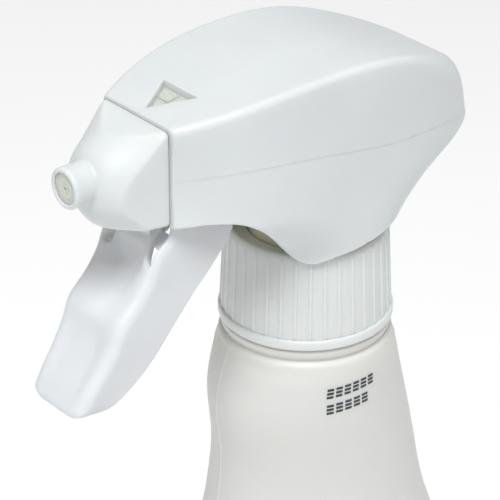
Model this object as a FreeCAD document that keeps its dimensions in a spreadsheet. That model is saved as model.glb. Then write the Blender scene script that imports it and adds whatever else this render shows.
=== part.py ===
import math
import os

import FreeCAD
import Part
import Sketcher
from FreeCAD import Placement, Rotation, Vector

# A trigger spray bottle. Origin at the centre of the bottle's base, +Z up, the nozzle points to -Y,
# and the pump mechanism is symmetric about X = 0. Millimetres.

doc = FreeCAD.newDocument("spray_bottle")
sheet = doc.addObject("Spreadsheet::Sheet", "sizes")

DRIVING_SIZES = {
    # bottle
    "base_front": 36.0, "base_rear": 40.0, "body_half_width": 29.0, "bottle_wall": 1.2,
    "base_thickness": 2.0, "shoulder_radius": 16.9, "neck_radius": 12.6, "neck_bore": 10.7,
    "neck_top": 183.0, "thread_pitch": 4.233, "thread_height": 1.2, "thread_turns": 1.5,
    # screw collar
    "collar_base": 168.0, "collar_height": 19.8, "collar_radius": 16.4, "collar_top_radius": 15.4,
    "flange_radius": 17.0, "flange_height": 2.07, "collar_bore": 14.1, "web_hole": 11.6,
    "web_underside": 185.9, "web_thickness": 1.1, "rib_count": 36.0,
    # pump
    "gasket_thickness": 1.2, "seat_flange_radius": 13.6, "seat_flange_thickness": 1.6,
    "riser_radius": 5.2, "riser_top": 216.4, "nozzle_height": 212.43, "cylinder_height": 200.5,
    "cylinder_radius": 6.5, "cylinder_bore": 5.4, "cylinder_mouth": 24.0, "cylinder_back": 6.4,
    "delivery_radius": 3.6, "delivery_bore": 1.2, "valve_bore": 2.2, "ball_radius": 2.0,
    # trigger and piston
    "pivot_front": 33.0, "pivot_radius": 1.8, "pivot_clearance": 0.05, "trigger_half_width": 8.2,
    "trigger_wall": 1.3, "rod_radius": 2.4,
    # shroud and nozzle
    "seam_front": 39.64, "shroud_wall": 1.4, "skirt_radius": 16.9, "nozzle_half_side": 9.1,
    "nozzle_gap": 0.45, "spout_radius": 3.92, "spout_front": 56.06, "spigot_radius": 3.0,
    # dip tube
    "tube_radius": 2.5, "tube_bore": 1.7, "tube_bottom": 6.0,
}

for row, (alias, number) in enumerate(DRIVING_SIZES.items(), start=1):
    sheet.set(f"A{row}", alias)
    sheet.set(f"B{row}", str(number))
    sheet.setAlias(f"B{row}", alias)
doc.recompute()


class Size:
    """A length worked out from the sheet, kept as a number and as the expression that gives it."""

    def __init__(self, number, text):
        self.number = number
        self.text = text

    def combined(self, other, symbol, number):
        text = other.text if isinstance(other, Size) else repr(other)
        return Size(number, f"({self.text} {symbol} {text})")

    def __add__(self, other):
        return self.combined(other, "+", self.number + plain(other))

    def __sub__(self, other):
        return self.combined(other, "-", self.number - plain(other))

    def __mul__(self, other):
        return self.combined(other, "*", self.number * plain(other))

    def __neg__(self):
        return Size(-self.number, f"(-1 * {self.text})")


def plain(length):
    return length.number if isinstance(length, Size) else float(length)


def cell(alias):
    return Size(float(sheet.get(alias)), f"sizes.{alias}")


def bind(owner, prop, length):
    """Gives a property its value, bound to the sheet where the length comes from there."""
    if isinstance(length, Size):
        owner.setExpression(prop, length.text)
    else:
        setattr(owner, prop, length)


# Sketch and feature helpers -------------------------------------------------------------------

SUB_PARTS = []


def new_body(label):
    body = doc.addObject("PartDesign::Body", label)
    body.Label = label
    SUB_PARTS.append(body)
    return body


def origin_plane(body, role):
    return [feature for feature in body.Origin.OriginFeatures if feature.Role == role][0]


def new_sketch(body, role, offset=0.0):
    sketch = body.newObject("Sketcher::SketchObject", body.Label + "_sketch")
    sketch.AttachmentSupport = [(origin_plane(body, role), "")]
    sketch.MapMode = "FlatFace"
    if isinstance(offset, Size):
        sketch.setExpression("AttachmentOffset.Base.z", offset.text)
    else:
        sketch.AttachmentOffset = Placement(Vector(0, 0, offset), Rotation())
    return sketch


def pin_point(sketch, edge, end, across, up):
    """Fixes an edge's end at (across, up) from the sketch's origin."""
    for kind, length in (("DistanceX", across), ("DistanceY", up)):
        index = sketch.addConstraint(Sketcher.Constraint(kind, -1, 1, edge, end, plain(length)))
        if isinstance(length, Size):
            sketch.setExpression(f"Constraints[{index}]", length.text)


def draw_outline(sketch, corners):
    """A closed outline of straight edges, each corner fixed from the sheet."""
    first = sketch.GeometryCount
    ends = [Vector(plain(across), plain(up), 0) for across, up in corners]
    count = len(ends)
    for i in range(count):
        sketch.addGeometry(Part.LineSegment(ends[i], ends[(i + 1) % count]), False)
    for i, (across, up) in enumerate(corners):
        following = first + (i + 1) % count
        sketch.addConstraint(Sketcher.Constraint("Coincident", first + i, 2, following, 1))
        pin_point(sketch, first + i, 1, across, up)


def draw_circle(sketch, radius, across=0.0, up=0.0):
    centre = Vector(plain(across), plain(up), 0)
    edge = sketch.addGeometry(Part.Circle(centre, Vector(0, 0, 1), plain(radius)), False)
    pin_point(sketch, edge, 3, across, up)
    index = sketch.addConstraint(Sketcher.Constraint("Radius", edge, plain(radius)))
    if isinstance(radius, Size):
        sketch.setExpression(f"Constraints[{index}]", radius.text)


def revolve(body, corners, role="XZ_Plane", axis="V_Axis", cut=False, height=None):
    """Turns an outline about one axis of its sketch, which can be raised to a height."""
    sketch = new_sketch(body, role)
    if height is not None:
        sketch.setExpression("AttachmentOffset.Base.y", height.text)
    draw_outline(sketch, corners)
    kind = "PartDesign::Groove" if cut else "PartDesign::Revolution"
    turned = body.newObject(kind, body.Label + ("_groove" if cut else "_turned"))
    turned.Profile = sketch
    turned.ReferenceAxis = (sketch, [axis])
    turned.Angle = 360.0
    doc.recompute()
    return turned


def extrude(body, role, length, draw, cut=False, both_ways=True, offset=0.0, backwards=False):
    """Pads or pockets what draw() puts in a new sketch on one of the body's origin planes."""
    sketch = new_sketch(body, role, offset)
    draw(sketch)
    kind = "PartDesign::Pocket" if cut else "PartDesign::Pad"
    feature = body.newObject(kind, body.Label + ("_pocket" if cut else "_pad"))
    feature.Profile = sketch
    feature.Midplane = both_ways
    feature.Reversed = backwards
    bind(feature, "Length", length)
    doc.recompute()
    return feature


def along_y(reach, height):
    """A corner of an outline in the YZ plane, given by its reach towards the nozzle."""
    return (-reach, height)


def fitted_curve(points, closed=False):
    curve = Part.BSplineCurve()
    curve.interpolate(Points=points, PeriodicFlag=closed)
    return curve.toShape()


def solid_part(label, shape):
    """A sub-part whose shape is worked out by functions, because no sketched feature fits it."""
    where = shape.Placement
    feature = doc.addObject("Part::Feature", label)
    feature.Label = label
    feature.Shape = shape
    feature.Placement = where
    SUB_PARTS.append(feature)


def helical_ridge(root_radius, crest_radius, bottom, turns, pitch, root_width, crest_width):
    """One thread ridge: a trapezoid swept up a right-hand helix about Z."""
    helix = Part.makeHelix(pitch, pitch * turns, root_radius)
    sunk = 0.4 if crest_radius > root_radius else -0.4
    section = Part.makePolygon([
        Vector(root_radius - sunk, 0, -root_width / 2), Vector(crest_radius, 0, -crest_width / 2),
        Vector(crest_radius, 0, crest_width / 2), Vector(root_radius - sunk, 0, root_width / 2),
        Vector(root_radius - sunk, 0, -root_width / 2)])
    ridge = Part.Wire(helix.Edges).makePipeShell([section], True, True)
    ridge.translate(Vector(0, 0, bottom))
    return ridge


# Shared heights -------------------------------------------------------------------------------

collar_base = cell("collar_base")
neck_top = cell("neck_top")
seat_underside = neck_top + cell("gasket_thickness")
seat_top = seat_underside + cell("seat_flange_thickness")
nozzle_height = cell("nozzle_height")
cylinder_height = cell("cylinder_height")
seam = plain(cell("seam_front"))
pitch = plain(cell("thread_pitch"))
turns = plain(cell("thread_turns"))


# Bottle ---------------------------------------------------------------------------------------

def bottle_section(height, front, rear, half_width, wall):
    """One level of the body: an ellipse that reaches front towards the nozzle and rear behind."""
    half_depth = (front + rear) / 2 - wall
    breadth = half_width - wall
    centre = Vector(0, (rear - front) / 2, height)
    if half_depth >= breadth:
        ring = Part.Ellipse(centre + Vector(0, half_depth, 0), centre + Vector(breadth, 0, 0), centre)
    else:
        ring = Part.Ellipse(centre + Vector(breadth, 0, 0), centre + Vector(0, half_depth, 0), centre)
    return Part.Wire(ring.toShape())


def eased(stations, height, column):
    """A value between listed stations, by a cubic that never overshoots them."""
    heights = [station[0] for station in stations]
    values = [station[column] for station in stations]
    slopes = [(v1 - v0) / (h1 - h0) for h0, h1, v0, v1 in zip(heights, heights[1:], values, values[1:])]
    tangents = [slopes[0]]
    for before, after in zip(slopes, slopes[1:]):
        tangents.append(2 * before * after / (before + after) if before * after > 0 else 0.0)
    tangents.append(slopes[-1])
    i = max(k for k in range(len(slopes)) if k == 0 or heights[k] <= height)
    span = heights[i + 1] - heights[i]
    share = (height - heights[i]) / span
    start = (1 + 2 * share) * (1 - share) ** 2 * values[i] + share * (1 - share) ** 2 * span * tangents[i]
    end = share ** 2 * (3 - 2 * share) * values[i + 1] - share ** 2 * (1 - share) * span * tangents[i + 1]
    return start + end


def bottle_body(wall, floor):
    """The blown body up to the shoulder, inset by the wall for the inside.

    Each station is a height with the body's front reach, rear reach and half width there."""
    front = plain(cell("base_front"))
    rear = plain(cell("base_rear"))
    width = plain(cell("body_half_width"))
    shoulder = plain(cell("shoulder_radius"))
    top = plain(collar_base) - 4.0
    stations = [
        (0.0, front - 4.0, rear - 4.0, width - 4.0),
        (1.5, front - 1.9, rear - 1.9, width - 1.9),
        (5.0, front - 0.3, rear - 0.3, width - 0.3),
        (10.0, front, rear, width),
        (45.0, front + 1.2, rear + 1.0, width + 0.5),
        (80.0, front + 0.2, rear + 0.4, width - 0.2),
        (100.0, front - 5.6, rear - 4.6, width - 3.4),
        (114.0, front - 11.6, rear - 9.8, width - 6.8),
        (126.0, 20.4, 26.0, 20.0),
        (140.0, 19.1, 23.2, 18.3),
        (152.5, 20.2, 20.3, 17.6),
        (top, shoulder + 0.4, shoulder + 0.4, shoulder + 0.2),
    ]
    heights = [0.0, 1.5, 5.0] + [10.0 + 7.0 * step for step in range(22)] + [top]
    sections = []
    for height in heights:
        extents = [eased(stations, height, column) for column in (1, 2, 3)]
        level = floor + height * (top - floor) / top
        sections.append(bottle_section(level, *extents, wall))
    return Part.makeLoft(sections, True)


def bottle_shape():
    wall = plain(cell("bottle_wall"))
    neck = plain(cell("neck_radius"))
    bore = plain(cell("neck_bore"))
    shoulder = plain(cell("shoulder_radius"))
    top = plain(collar_base)
    rim = plain(neck_top)
    outside = bottle_body(0.0, 0.0)
    neck_outline = [
        Vector(0, 0, top - 4.2), Vector(shoulder + 0.2, 0, top - 4.2),
        Vector(shoulder - 0.1, 0, top - 3.0), Vector(shoulder - 1.0, 0, top - 2.6),
        Vector(neck + 1.6, 0, top - 3.2), Vector(neck + 1.6, 0, top - 2.0),
        Vector(neck + 2.3, 0, top - 1.4), Vector(neck + 2.3, 0, top - 0.5),
        Vector(neck, 0, top + 0.3), Vector(neck, 0, rim), Vector(0, 0, rim)]
    neck_face = Part.Face(Part.makePolygon(neck_outline + neck_outline[:1]))
    outside = outside.fuse(neck_face.revolve(Vector(), Vector(0, 0, 1), 360))
    height = plain(cell("thread_height"))
    thread = helical_ridge(neck, neck + height, top + 5.2, turns, pitch, 2.2, 1.0)
    outside = outside.fuse(thread)
    inside = bottle_body(wall, plain(cell("base_thickness")))
    mouth = Part.makeCylinder(bore, rim - top + 8.0, Vector(0, 0, top - 7.0))
    funnel = Part.makeCone(shoulder - 2.5, bore, 5.5, Vector(0, 0, top - 6.5))
    return outside.cut(inside).cut(funnel).cut(mouth).removeSplitter()


solid_part("bottle", bottle_shape())


# Screw collar: ribbed wall, base flange, top web that traps the pump's seat flange, inner thread

def collar_shape():
    base = plain(collar_base)
    top = base + plain(cell("collar_height"))
    foot = plain(cell("collar_radius"))
    head = plain(cell("collar_top_radius"))
    flange = plain(cell("flange_radius"))
    flange_top = base + plain(cell("flange_height"))
    bore = plain(cell("collar_bore"))
    hole = plain(cell("web_hole"))
    web = plain(cell("web_underside"))
    web_top = web + plain(cell("web_thickness"))
    profile = [
        (bore, base), (flange - 0.3, base), (flange, base + 0.4), (flange, flange_top - 0.4),
        (flange - 0.25, flange_top), (foot, flange_top), (head + 0.1, top - 0.7),
        (head - 0.4, top), (head - 1.0, top), (head - 1.0, web_top), (hole, web_top),
        (hole, web), (bore, web)]
    ring = [Vector(radius, 0, height) for radius, height in profile]
    shape = Part.Face(Part.makePolygon(ring + ring[:1])).revolve(Vector(), Vector(0, 0, 1), 360)
    count = int(plain(cell("rib_count")))
    lean = math.degrees(math.atan2(foot - head, top - 1.6 - flange_top))
    rib = Part.makeCylinder(0.42, top - 1.6 - flange_top, Vector(foot - 0.1, 0, flange_top))
    rib.rotate(Vector(foot - 0.1, 0, flange_top), Vector(0, 1, 0), -lean)
    ribs = []
    for i in range(count):
        copy = rib.copy()
        copy.rotate(Vector(), Vector(0, 0, 1), 360.0 / count * i)
        ribs.append(copy)
    height = plain(cell("thread_height"))
    thread = helical_ridge(bore, bore - height, base + 2.9, turns, pitch, 2.2, 1.0)
    return shape.fuse(ribs + [thread]).removeSplitter()


solid_part("collar", collar_shape())


# Flat gasket between the bottle's rim and the pump's seat flange

gasket = new_body("bottle_gasket")
gasket_hole = cell("neck_bore")
gasket_rim = cell("seat_flange_radius") - 0.3
revolve(gasket, [(gasket_hole, neck_top), (gasket_rim, neck_top), (gasket_rim, seat_underside),
                 (gasket_hole, seat_underside)])


# Pump body: seat flange and plug, riser, pressure cylinder, delivery tube, pivot stubs, saddle

pump = new_body("pump_body")
riser = cell("riser_radius")
riser_top = cell("riser_top")
seat_radius = cell("seat_flange_radius")
plug_radius = cell("neck_bore") - 0.15
cylinder_radius = cell("cylinder_radius")
cylinder_mouth = cell("cylinder_mouth")
delivery_radius = cell("delivery_radius")
spigot_radius = cell("spigot_radius")
HOLDER_SOCKET = 4.0
HOLDER_BOTTOM = 178.0
HOLDER_TOP = 189.6
NECK_SLEEVE = 11.3
SPIGOT_FRONT = 48.0
VENT_BEHIND = 7.4
VALVE_FRONT = 15.5
VALVE_SEAT = 6.2
PLUG_BOTTOM = 178.5
PLUG_WALL = 1.3
SLEEVE_TOP = 190.0
PLATE_BOTTOM = 190.2
PLATE_THICKNESS = 2.0
RISER_FOOT = 7.4

revolve(pump, [
    (0.0, HOLDER_BOTTOM), (HOLDER_SOCKET + 1.6, HOLDER_BOTTOM), (HOLDER_SOCKET + 1.6, seat_underside - 1.5),
    (plug_radius - PLUG_WALL, seat_underside - 1.5), (plug_radius - PLUG_WALL, PLUG_BOTTOM),
    (plug_radius, PLUG_BOTTOM), (plug_radius, seat_underside), (seat_radius, seat_underside),
    (seat_radius, seat_top), (NECK_SLEEVE, seat_top), (NECK_SLEEVE, SLEEVE_TOP),
    (riser, SLEEVE_TOP + 1.5), (riser, riser_top), (0.0, riser_top)])


def pump_plate(sketch):
    draw_outline(sketch, [(-7.6, 4.6), (7.6, 4.6), (13.4, 7.6), (9.5, 12.2), (-9.5, 12.2), (-13.4, 7.6)])


def riser_foot(sketch):
    draw_circle(sketch, RISER_FOOT)


extrude(pump, "XY_Plane", PLATE_THICKNESS, pump_plate, both_ways=False, offset=PLATE_BOTTOM)
extrude(pump, "XY_Plane", 2 * PLATE_THICKNESS, riser_foot, both_ways=False,
        offset=PLATE_BOTTOM - PLATE_THICKNESS)


def cylinder_outer(sketch):
    draw_circle(sketch, cylinder_radius, 0.0, cylinder_height)


def delivery_outer(sketch):
    draw_circle(sketch, delivery_radius, 0.0, nozzle_height)


def spigot_outer(sketch):
    draw_circle(sketch, spigot_radius, 0.0, nozzle_height)


FRONT_PLATE_HALF_WIDTH = 6.4
FRONT_PLATE_HALF_HEIGHT = 3.2


def front_plate(sketch):
    low = nozzle_height - FRONT_PLATE_HALF_HEIGHT
    high = nozzle_height + FRONT_PLATE_HALF_HEIGHT
    draw_outline(sketch, [(-FRONT_PLATE_HALF_WIDTH, low), (FRONT_PLATE_HALF_WIDTH, low),
                          (FRONT_PLATE_HALF_WIDTH, high), (-FRONT_PLATE_HALF_WIDTH, high)])


extrude(pump, "XZ_Plane", cylinder_mouth, cylinder_outer, both_ways=False)
extrude(pump, "XZ_Plane", cell("seam_front"), delivery_outer, both_ways=False)
extrude(pump, "XZ_Plane", SPIGOT_FRONT, spigot_outer, both_ways=False)
extrude(pump, "XZ_Plane", 1.6, front_plate, both_ways=False, offset=cell("seam_front") - 2.4)


def stiffening_web(sketch):
    draw_outline(sketch, [
        along_y(4.0, cylinder_height + 5.0), along_y(20.0, cylinder_height + 5.0),
        along_y(14.0, nozzle_height - 2.0), along_y(4.0, nozzle_height - 2.0)])


def pivot_stub(sketch):
    draw_circle(sketch, cell("pivot_radius"), -cell("pivot_front"), nozzle_height)


extrude(pump, "YZ_Plane", 1.6, stiffening_web)
extrude(pump, "YZ_Plane", cell("trigger_half_width") * 2 + 0.6, pivot_stub)


def bore_z(radius, bottom, top):
    revolve(pump, [(0.0, bottom), (radius, bottom), (radius, top), (0.0, top)], cut=True)


BALL_CHAMBER = 2.4
RISER_BORE = 1.4
bore_z(HOLDER_SOCKET, HOLDER_BOTTOM - 1.0, HOLDER_TOP)
bore_z(BALL_CHAMBER, HOLDER_TOP - 0.5, HOLDER_TOP + 5.0)
bore_z(RISER_BORE, HOLDER_TOP + 4.5, nozzle_height)


def bore_y(radius, near, far, height):
    """A round hole along Y from near to far, both measured from the riser towards the nozzle."""
    before = pump.Shape.Volume
    extrude(pump, "XZ_Plane", far - near, lambda sketch: draw_circle(sketch, radius, 0.0, height),
            cut=True, both_ways=False, offset=near, backwards=True)
    if not pump.Shape.Volume < before:
        raise RuntimeError("a bore of the pump body cut nothing")


CYLINDER_PORT = 1.0
OUTLET_PORT = 1.1
PORT_DEPTH = 8.0
bore_y(plain(cell("cylinder_bore")), plain(cell("cylinder_back")), 30.0, cylinder_height)
bore_y(CYLINDER_PORT, 0.0, PORT_DEPTH, cylinder_height)
bore_y(OUTLET_PORT, 0.0, PORT_DEPTH, nozzle_height)
bore_y(plain(cell("valve_bore")), VALVE_SEAT, VALVE_FRONT, nozzle_height)
bore_y(plain(cell("delivery_bore")), VALVE_SEAT, 50.0, nozzle_height)


SEAL_POSITION = 45.6
SEAL_GROOVE_HALF = 0.5
SEAL_GROOVE_FLOOR = 2.08
revolve(pump, [
    along_y(SEAL_POSITION - SEAL_GROOVE_HALF, SEAL_GROOVE_FLOOR),
    along_y(SEAL_POSITION + SEAL_GROOVE_HALF, SEAL_GROOVE_FLOOR),
    along_y(SEAL_POSITION + SEAL_GROOVE_HALF, 4.0),
    along_y(SEAL_POSITION - SEAL_GROOVE_HALF, 4.0)], "YZ_Plane", "H_Axis", cut=True, height=nozzle_height)


VENT_RADIUS = 0.8


def vent_hole(sketch):
    draw_circle(sketch, VENT_RADIUS, 0.0, VENT_BEHIND)


extrude(pump, "XY_Plane", 10.6, vent_hole, cut=True, both_ways=False,
        offset=PLATE_BOTTOM + PLATE_THICKNESS + 0.2)


# Tube holder: pressed into the riser's foot, it grips the dip tube and seats the inlet ball

holder = new_body("tube_holder")
tube_radius = cell("tube_radius")
ball_radius = cell("ball_radius")
TUBE_TOP = 186.0
HOLDER_RIM = 5.4
HOLDER_RIM_BOTTOM = HOLDER_BOTTOM - 1.6
BALL_SEAT_MOUTH = 1.9
BALL_SEAT_THROAT = 1.2
revolve(holder, [
    (tube_radius, HOLDER_RIM_BOTTOM), (HOLDER_RIM, HOLDER_RIM_BOTTOM), (HOLDER_RIM, HOLDER_BOTTOM),
    (HOLDER_SOCKET, HOLDER_BOTTOM), (HOLDER_SOCKET, HOLDER_TOP), (BALL_SEAT_MOUTH, HOLDER_TOP),
    (BALL_SEAT_THROAT, HOLDER_TOP - 1.2), (BALL_SEAT_THROAT, TUBE_TOP), (tube_radius, TUBE_TOP)])

tube = new_body("dip_tube")
tube_bore = cell("tube_bore")
tube_bottom = cell("tube_bottom")
revolve(tube, [(tube_bore, tube_bottom), (tube_radius, tube_bottom), (tube_radius, TUBE_TOP),
               (tube_bore, TUBE_TOP)])

strainer = new_body("tube_strainer")
STRAINER_TOP = 18.0
STRAINER_SLOT_HALF_WIDTH = 0.4
strainer_rim = tube_radius + 0.9
strainer_foot = tube_bottom - 2.0
revolve(strainer, [
    (0.0, strainer_foot), (strainer_rim, strainer_foot), (strainer_rim, STRAINER_TOP),
    (tube_radius, STRAINER_TOP), (tube_radius, tube_bottom), (0.0, tube_bottom)])


def strainer_slot(sketch):
    below = strainer_foot - 1.0
    draw_outline(sketch, [(-STRAINER_SLOT_HALF_WIDTH, below), (STRAINER_SLOT_HALF_WIDTH, below),
                          (STRAINER_SLOT_HALF_WIDTH, tube_bottom), (-STRAINER_SLOT_HALF_WIDTH, tube_bottom)])


for plane in ("XZ_Plane", "YZ_Plane"):
    extrude(strainer, plane, 5.0, strainer_slot, cut=True)

ball = doc.addObject("Part::Sphere", "inlet_ball")
ball.Label = "inlet_ball"
bind(ball, "Radius", ball_radius)
ball.Placement = Placement(Vector(0, 0, HOLDER_TOP + 1.0), Rotation())
SUB_PARTS.append(ball)


# Air vent: a soft mushroom valve under the seat flange lets air in and keeps liquid back

vent = new_body("vent_valve")
VENT_CAP_RADIUS = 1.5
VENT_STEM_RADIUS = 0.7
VENT_CAP_BOTTOM = 181.4
VENT_CAP_TOP = 182.6
VENT_STEM_TOP = 185.5
revolve(vent, [
    (0.0, VENT_CAP_BOTTOM), (VENT_CAP_RADIUS, VENT_CAP_TOP - 0.4), (VENT_CAP_RADIUS, VENT_CAP_TOP),
    (VENT_STEM_RADIUS, VENT_CAP_TOP), (VENT_STEM_RADIUS, VENT_STEM_TOP), (0.0, VENT_STEM_TOP)])
vent.Placement = Placement(Vector(0, VENT_BEHIND, 0), Rotation())


# Discharge valve: a poppet on its spring inside the delivery tube

poppet = new_body("outlet_valve")
POPPET_BACK = VALVE_SEAT + 0.15
POPPET_HEAD_FRONT = 8.0
POPPET_STEM_FRONT = 12.0
POPPET_RADIUS = 2.0
POPPET_STEM_RADIUS = 0.8
revolve(poppet, [
    along_y(POPPET_BACK, 0.0), along_y(POPPET_BACK, POPPET_RADIUS - 0.4),
    along_y(POPPET_BACK + 0.75, POPPET_RADIUS), along_y(POPPET_HEAD_FRONT, POPPET_RADIUS),
    along_y(POPPET_HEAD_FRONT, POPPET_STEM_RADIUS), along_y(POPPET_STEM_FRONT, POPPET_STEM_RADIUS),
    along_y(POPPET_STEM_FRONT, 0.0)], "YZ_Plane", "H_Axis")
poppet.Placement = Placement(Vector(0, 0, plain(nozzle_height)), Rotation())


def coil_spring(radius, wire, length, coils):
    """A helical spring with its axis along Z, from 0 to length, as one swept wire."""
    helix = Part.makeHelix((length - 2 * wire) / coils, length - 2 * wire, radius)
    start = Part.Wire(Part.Circle(Vector(radius, 0, 0), Vector(0, 1, 0), wire).toShape())
    spring = Part.Wire(helix.Edges).makePipeShell([start], True, True)
    spring.translate(Vector(0, 0, wire))
    return spring


def spring_along_y(label, radius, wire, front, back, coils, height):
    """A spring that runs from front to back, both measured from the riser towards the nozzle."""
    shape = coil_spring(radius, wire, front - back, coils)
    shape.rotate(Vector(), Vector(1, 0, 0), 90)
    shape.translate(Vector(0, -back, height))
    solid_part(label, shape)


spring_along_y("outlet_spring", 1.4, 0.22, VALVE_FRONT - 0.05, POPPET_HEAD_FRONT + 0.1, 5.5,
               plain(nozzle_height))


# Piston with its cup seal and return spring

PISTON_FRONT = 36.7
SEAL_FRONT = 20.4
SEAL_BACK = 15.6
rod_radius = cell("rod_radius")
seal_radius = cell("cylinder_bore") - 0.05
piston = new_body("piston")
revolve(piston, [
    along_y(PISTON_FRONT, 0.0), along_y(PISTON_FRONT, 3.0), along_y(PISTON_FRONT - 1.4, 3.4),
    along_y(PISTON_FRONT - 2.2, rod_radius), along_y(22.0, rod_radius),
    along_y(22.0, seal_radius - 0.1), along_y(SEAL_FRONT, seal_radius - 0.1),
    along_y(SEAL_FRONT, 2.0), along_y(SEAL_BACK - 0.8, 2.0), along_y(SEAL_BACK - 0.8, 0.0)],
    "YZ_Plane", "H_Axis")
piston.Placement = Placement(Vector(0, 0, plain(cylinder_height)), Rotation())

seal = new_body("piston_seal")
revolve(seal, [
    along_y(SEAL_FRONT, 2.0), along_y(SEAL_FRONT, seal_radius), along_y(SEAL_FRONT - 0.8, seal_radius),
    along_y(SEAL_FRONT - 1.6, seal_radius - 0.6), along_y(SEAL_BACK + 1.2, seal_radius - 0.5),
    along_y(SEAL_BACK, seal_radius), along_y(SEAL_BACK, seal_radius - 0.7),
    along_y(SEAL_BACK + 1.6, seal_radius - 1.5), along_y(SEAL_BACK + 1.6, 2.0)], "YZ_Plane", "H_Axis")
seal.Placement = Placement(Vector(0, 0, plain(cylinder_height)), Rotation())

spring_along_y("return_spring", 3.0, 0.35, SEAL_BACK + 1.5, plain(cell("cylinder_back")) + 0.05, 4.5,
               plain(cylinder_height))


# Trigger: a channel open to the rear, two ears on the pump's pivot stubs, two finger hollows

PIVOT = Vector(0, -plain(cell("pivot_front")), plain(nozzle_height))
EAR_RADIUS = 3.7
PAD_FRONT = 38.2
PAD_RADIUS = 1.2
PAD_LENGTH = 8.0
SLOT_MIDDLE = 5.7
SLOT_WIDTH = 1.3
SLOT_LENGTH = 7.6
SLOT_BOTTOM = 26.4


def trigger_profile(front_inset):
    """Side outline of the trigger. The front edge can be inset to make the inside of the channel."""
    base = plain(collar_base)
    front = [(39.1, 32.2), (41.2, 30.9), (42.8, 29.0), (43.7, 26.5), (45.3, 23.7),
             (47.5, 21.1), (50.0, 18.8), (51.3, 17.2), (52.4, 14.7), (54.0, 12.0), (55.9, 9.3),
             (57.9, 6.7), (59.6, 4.2), (60.2, 2.6)]
    tip = [(59.4, 1.1), (57.1, 0.8), (53.9, 1.0)]
    rear = [(50.9, 2.3), (46.7, 5.2), (42.7, 9.2), (38.7, 14.2), (33.3, 20.1), (27.3, 26.2), (24.8, 29.7)]
    front_turn = math.radians(20)
    ear_start = PIVOT - Vector(0, EAR_RADIUS * math.cos(front_turn), EAR_RADIUS * math.sin(front_turn))
    front_points = [Vector(0, -reach + front_inset, base + height) for reach, height in front]
    tip_points = [Vector(0, -reach, base + height + front_inset) for reach, height in tip]
    rear_points = [Vector(0, -reach, base + height) for reach, height in rear]
    edges = []
    if front_inset:
        back = Vector(0, -18.0, base + 60.0)
        low = Vector(0, -18.0, base - 20.0)
        under = Vector(0, tip_points[-1].y + 4.0, base - 20.0)
        tip_end = Vector(0, tip_points[-1].y + 4.0, tip_points[-1].z + 1.5)
        start = Vector(0, front_points[0].y, base + 60.0)
        edges.append(Part.makeLine(start, front_points[0]))
        edges.append(fitted_curve(front_points))
        edges.append(Part.makeLine(front_points[-1], tip_end))
        corners = [tip_end, under, low, back, start]
        edges += [Part.makeLine(a, b) for a, b in zip(corners, corners[1:])]
        return Part.Wire(edges)
    ear_top = PIVOT + Vector(0, 0, EAR_RADIUS)
    rear_turn = math.radians(35)
    ear_rear = PIVOT + Vector(0, EAR_RADIUS * math.cos(rear_turn), -EAR_RADIUS * math.sin(rear_turn))
    edges.append(Part.Arc(ear_rear, ear_top, ear_start).toShape())
    brow = front_points[0] + Vector(0, 0, 5.0)
    edges.append(Part.makeLine(ear_start, brow))
    edges.append(Part.makeLine(brow, front_points[0]))
    edges.append(fitted_curve(front_points))
    edges.append(fitted_curve([front_points[-1]] + tip_points))
    edges.append(fitted_curve([tip_points[-1]] + rear_points))
    edges.append(Part.makeLine(rear_points[-1], ear_rear))
    return Part.Wire(edges)


def slab(wire, half_width):
    """The flat region inside a wire in the YZ plane, thickened both ways along X."""
    shape = Part.Face(wire).extrude(Vector(2 * half_width, 0, 0))
    shape.translate(Vector(-half_width, 0, 0))
    return shape


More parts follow.
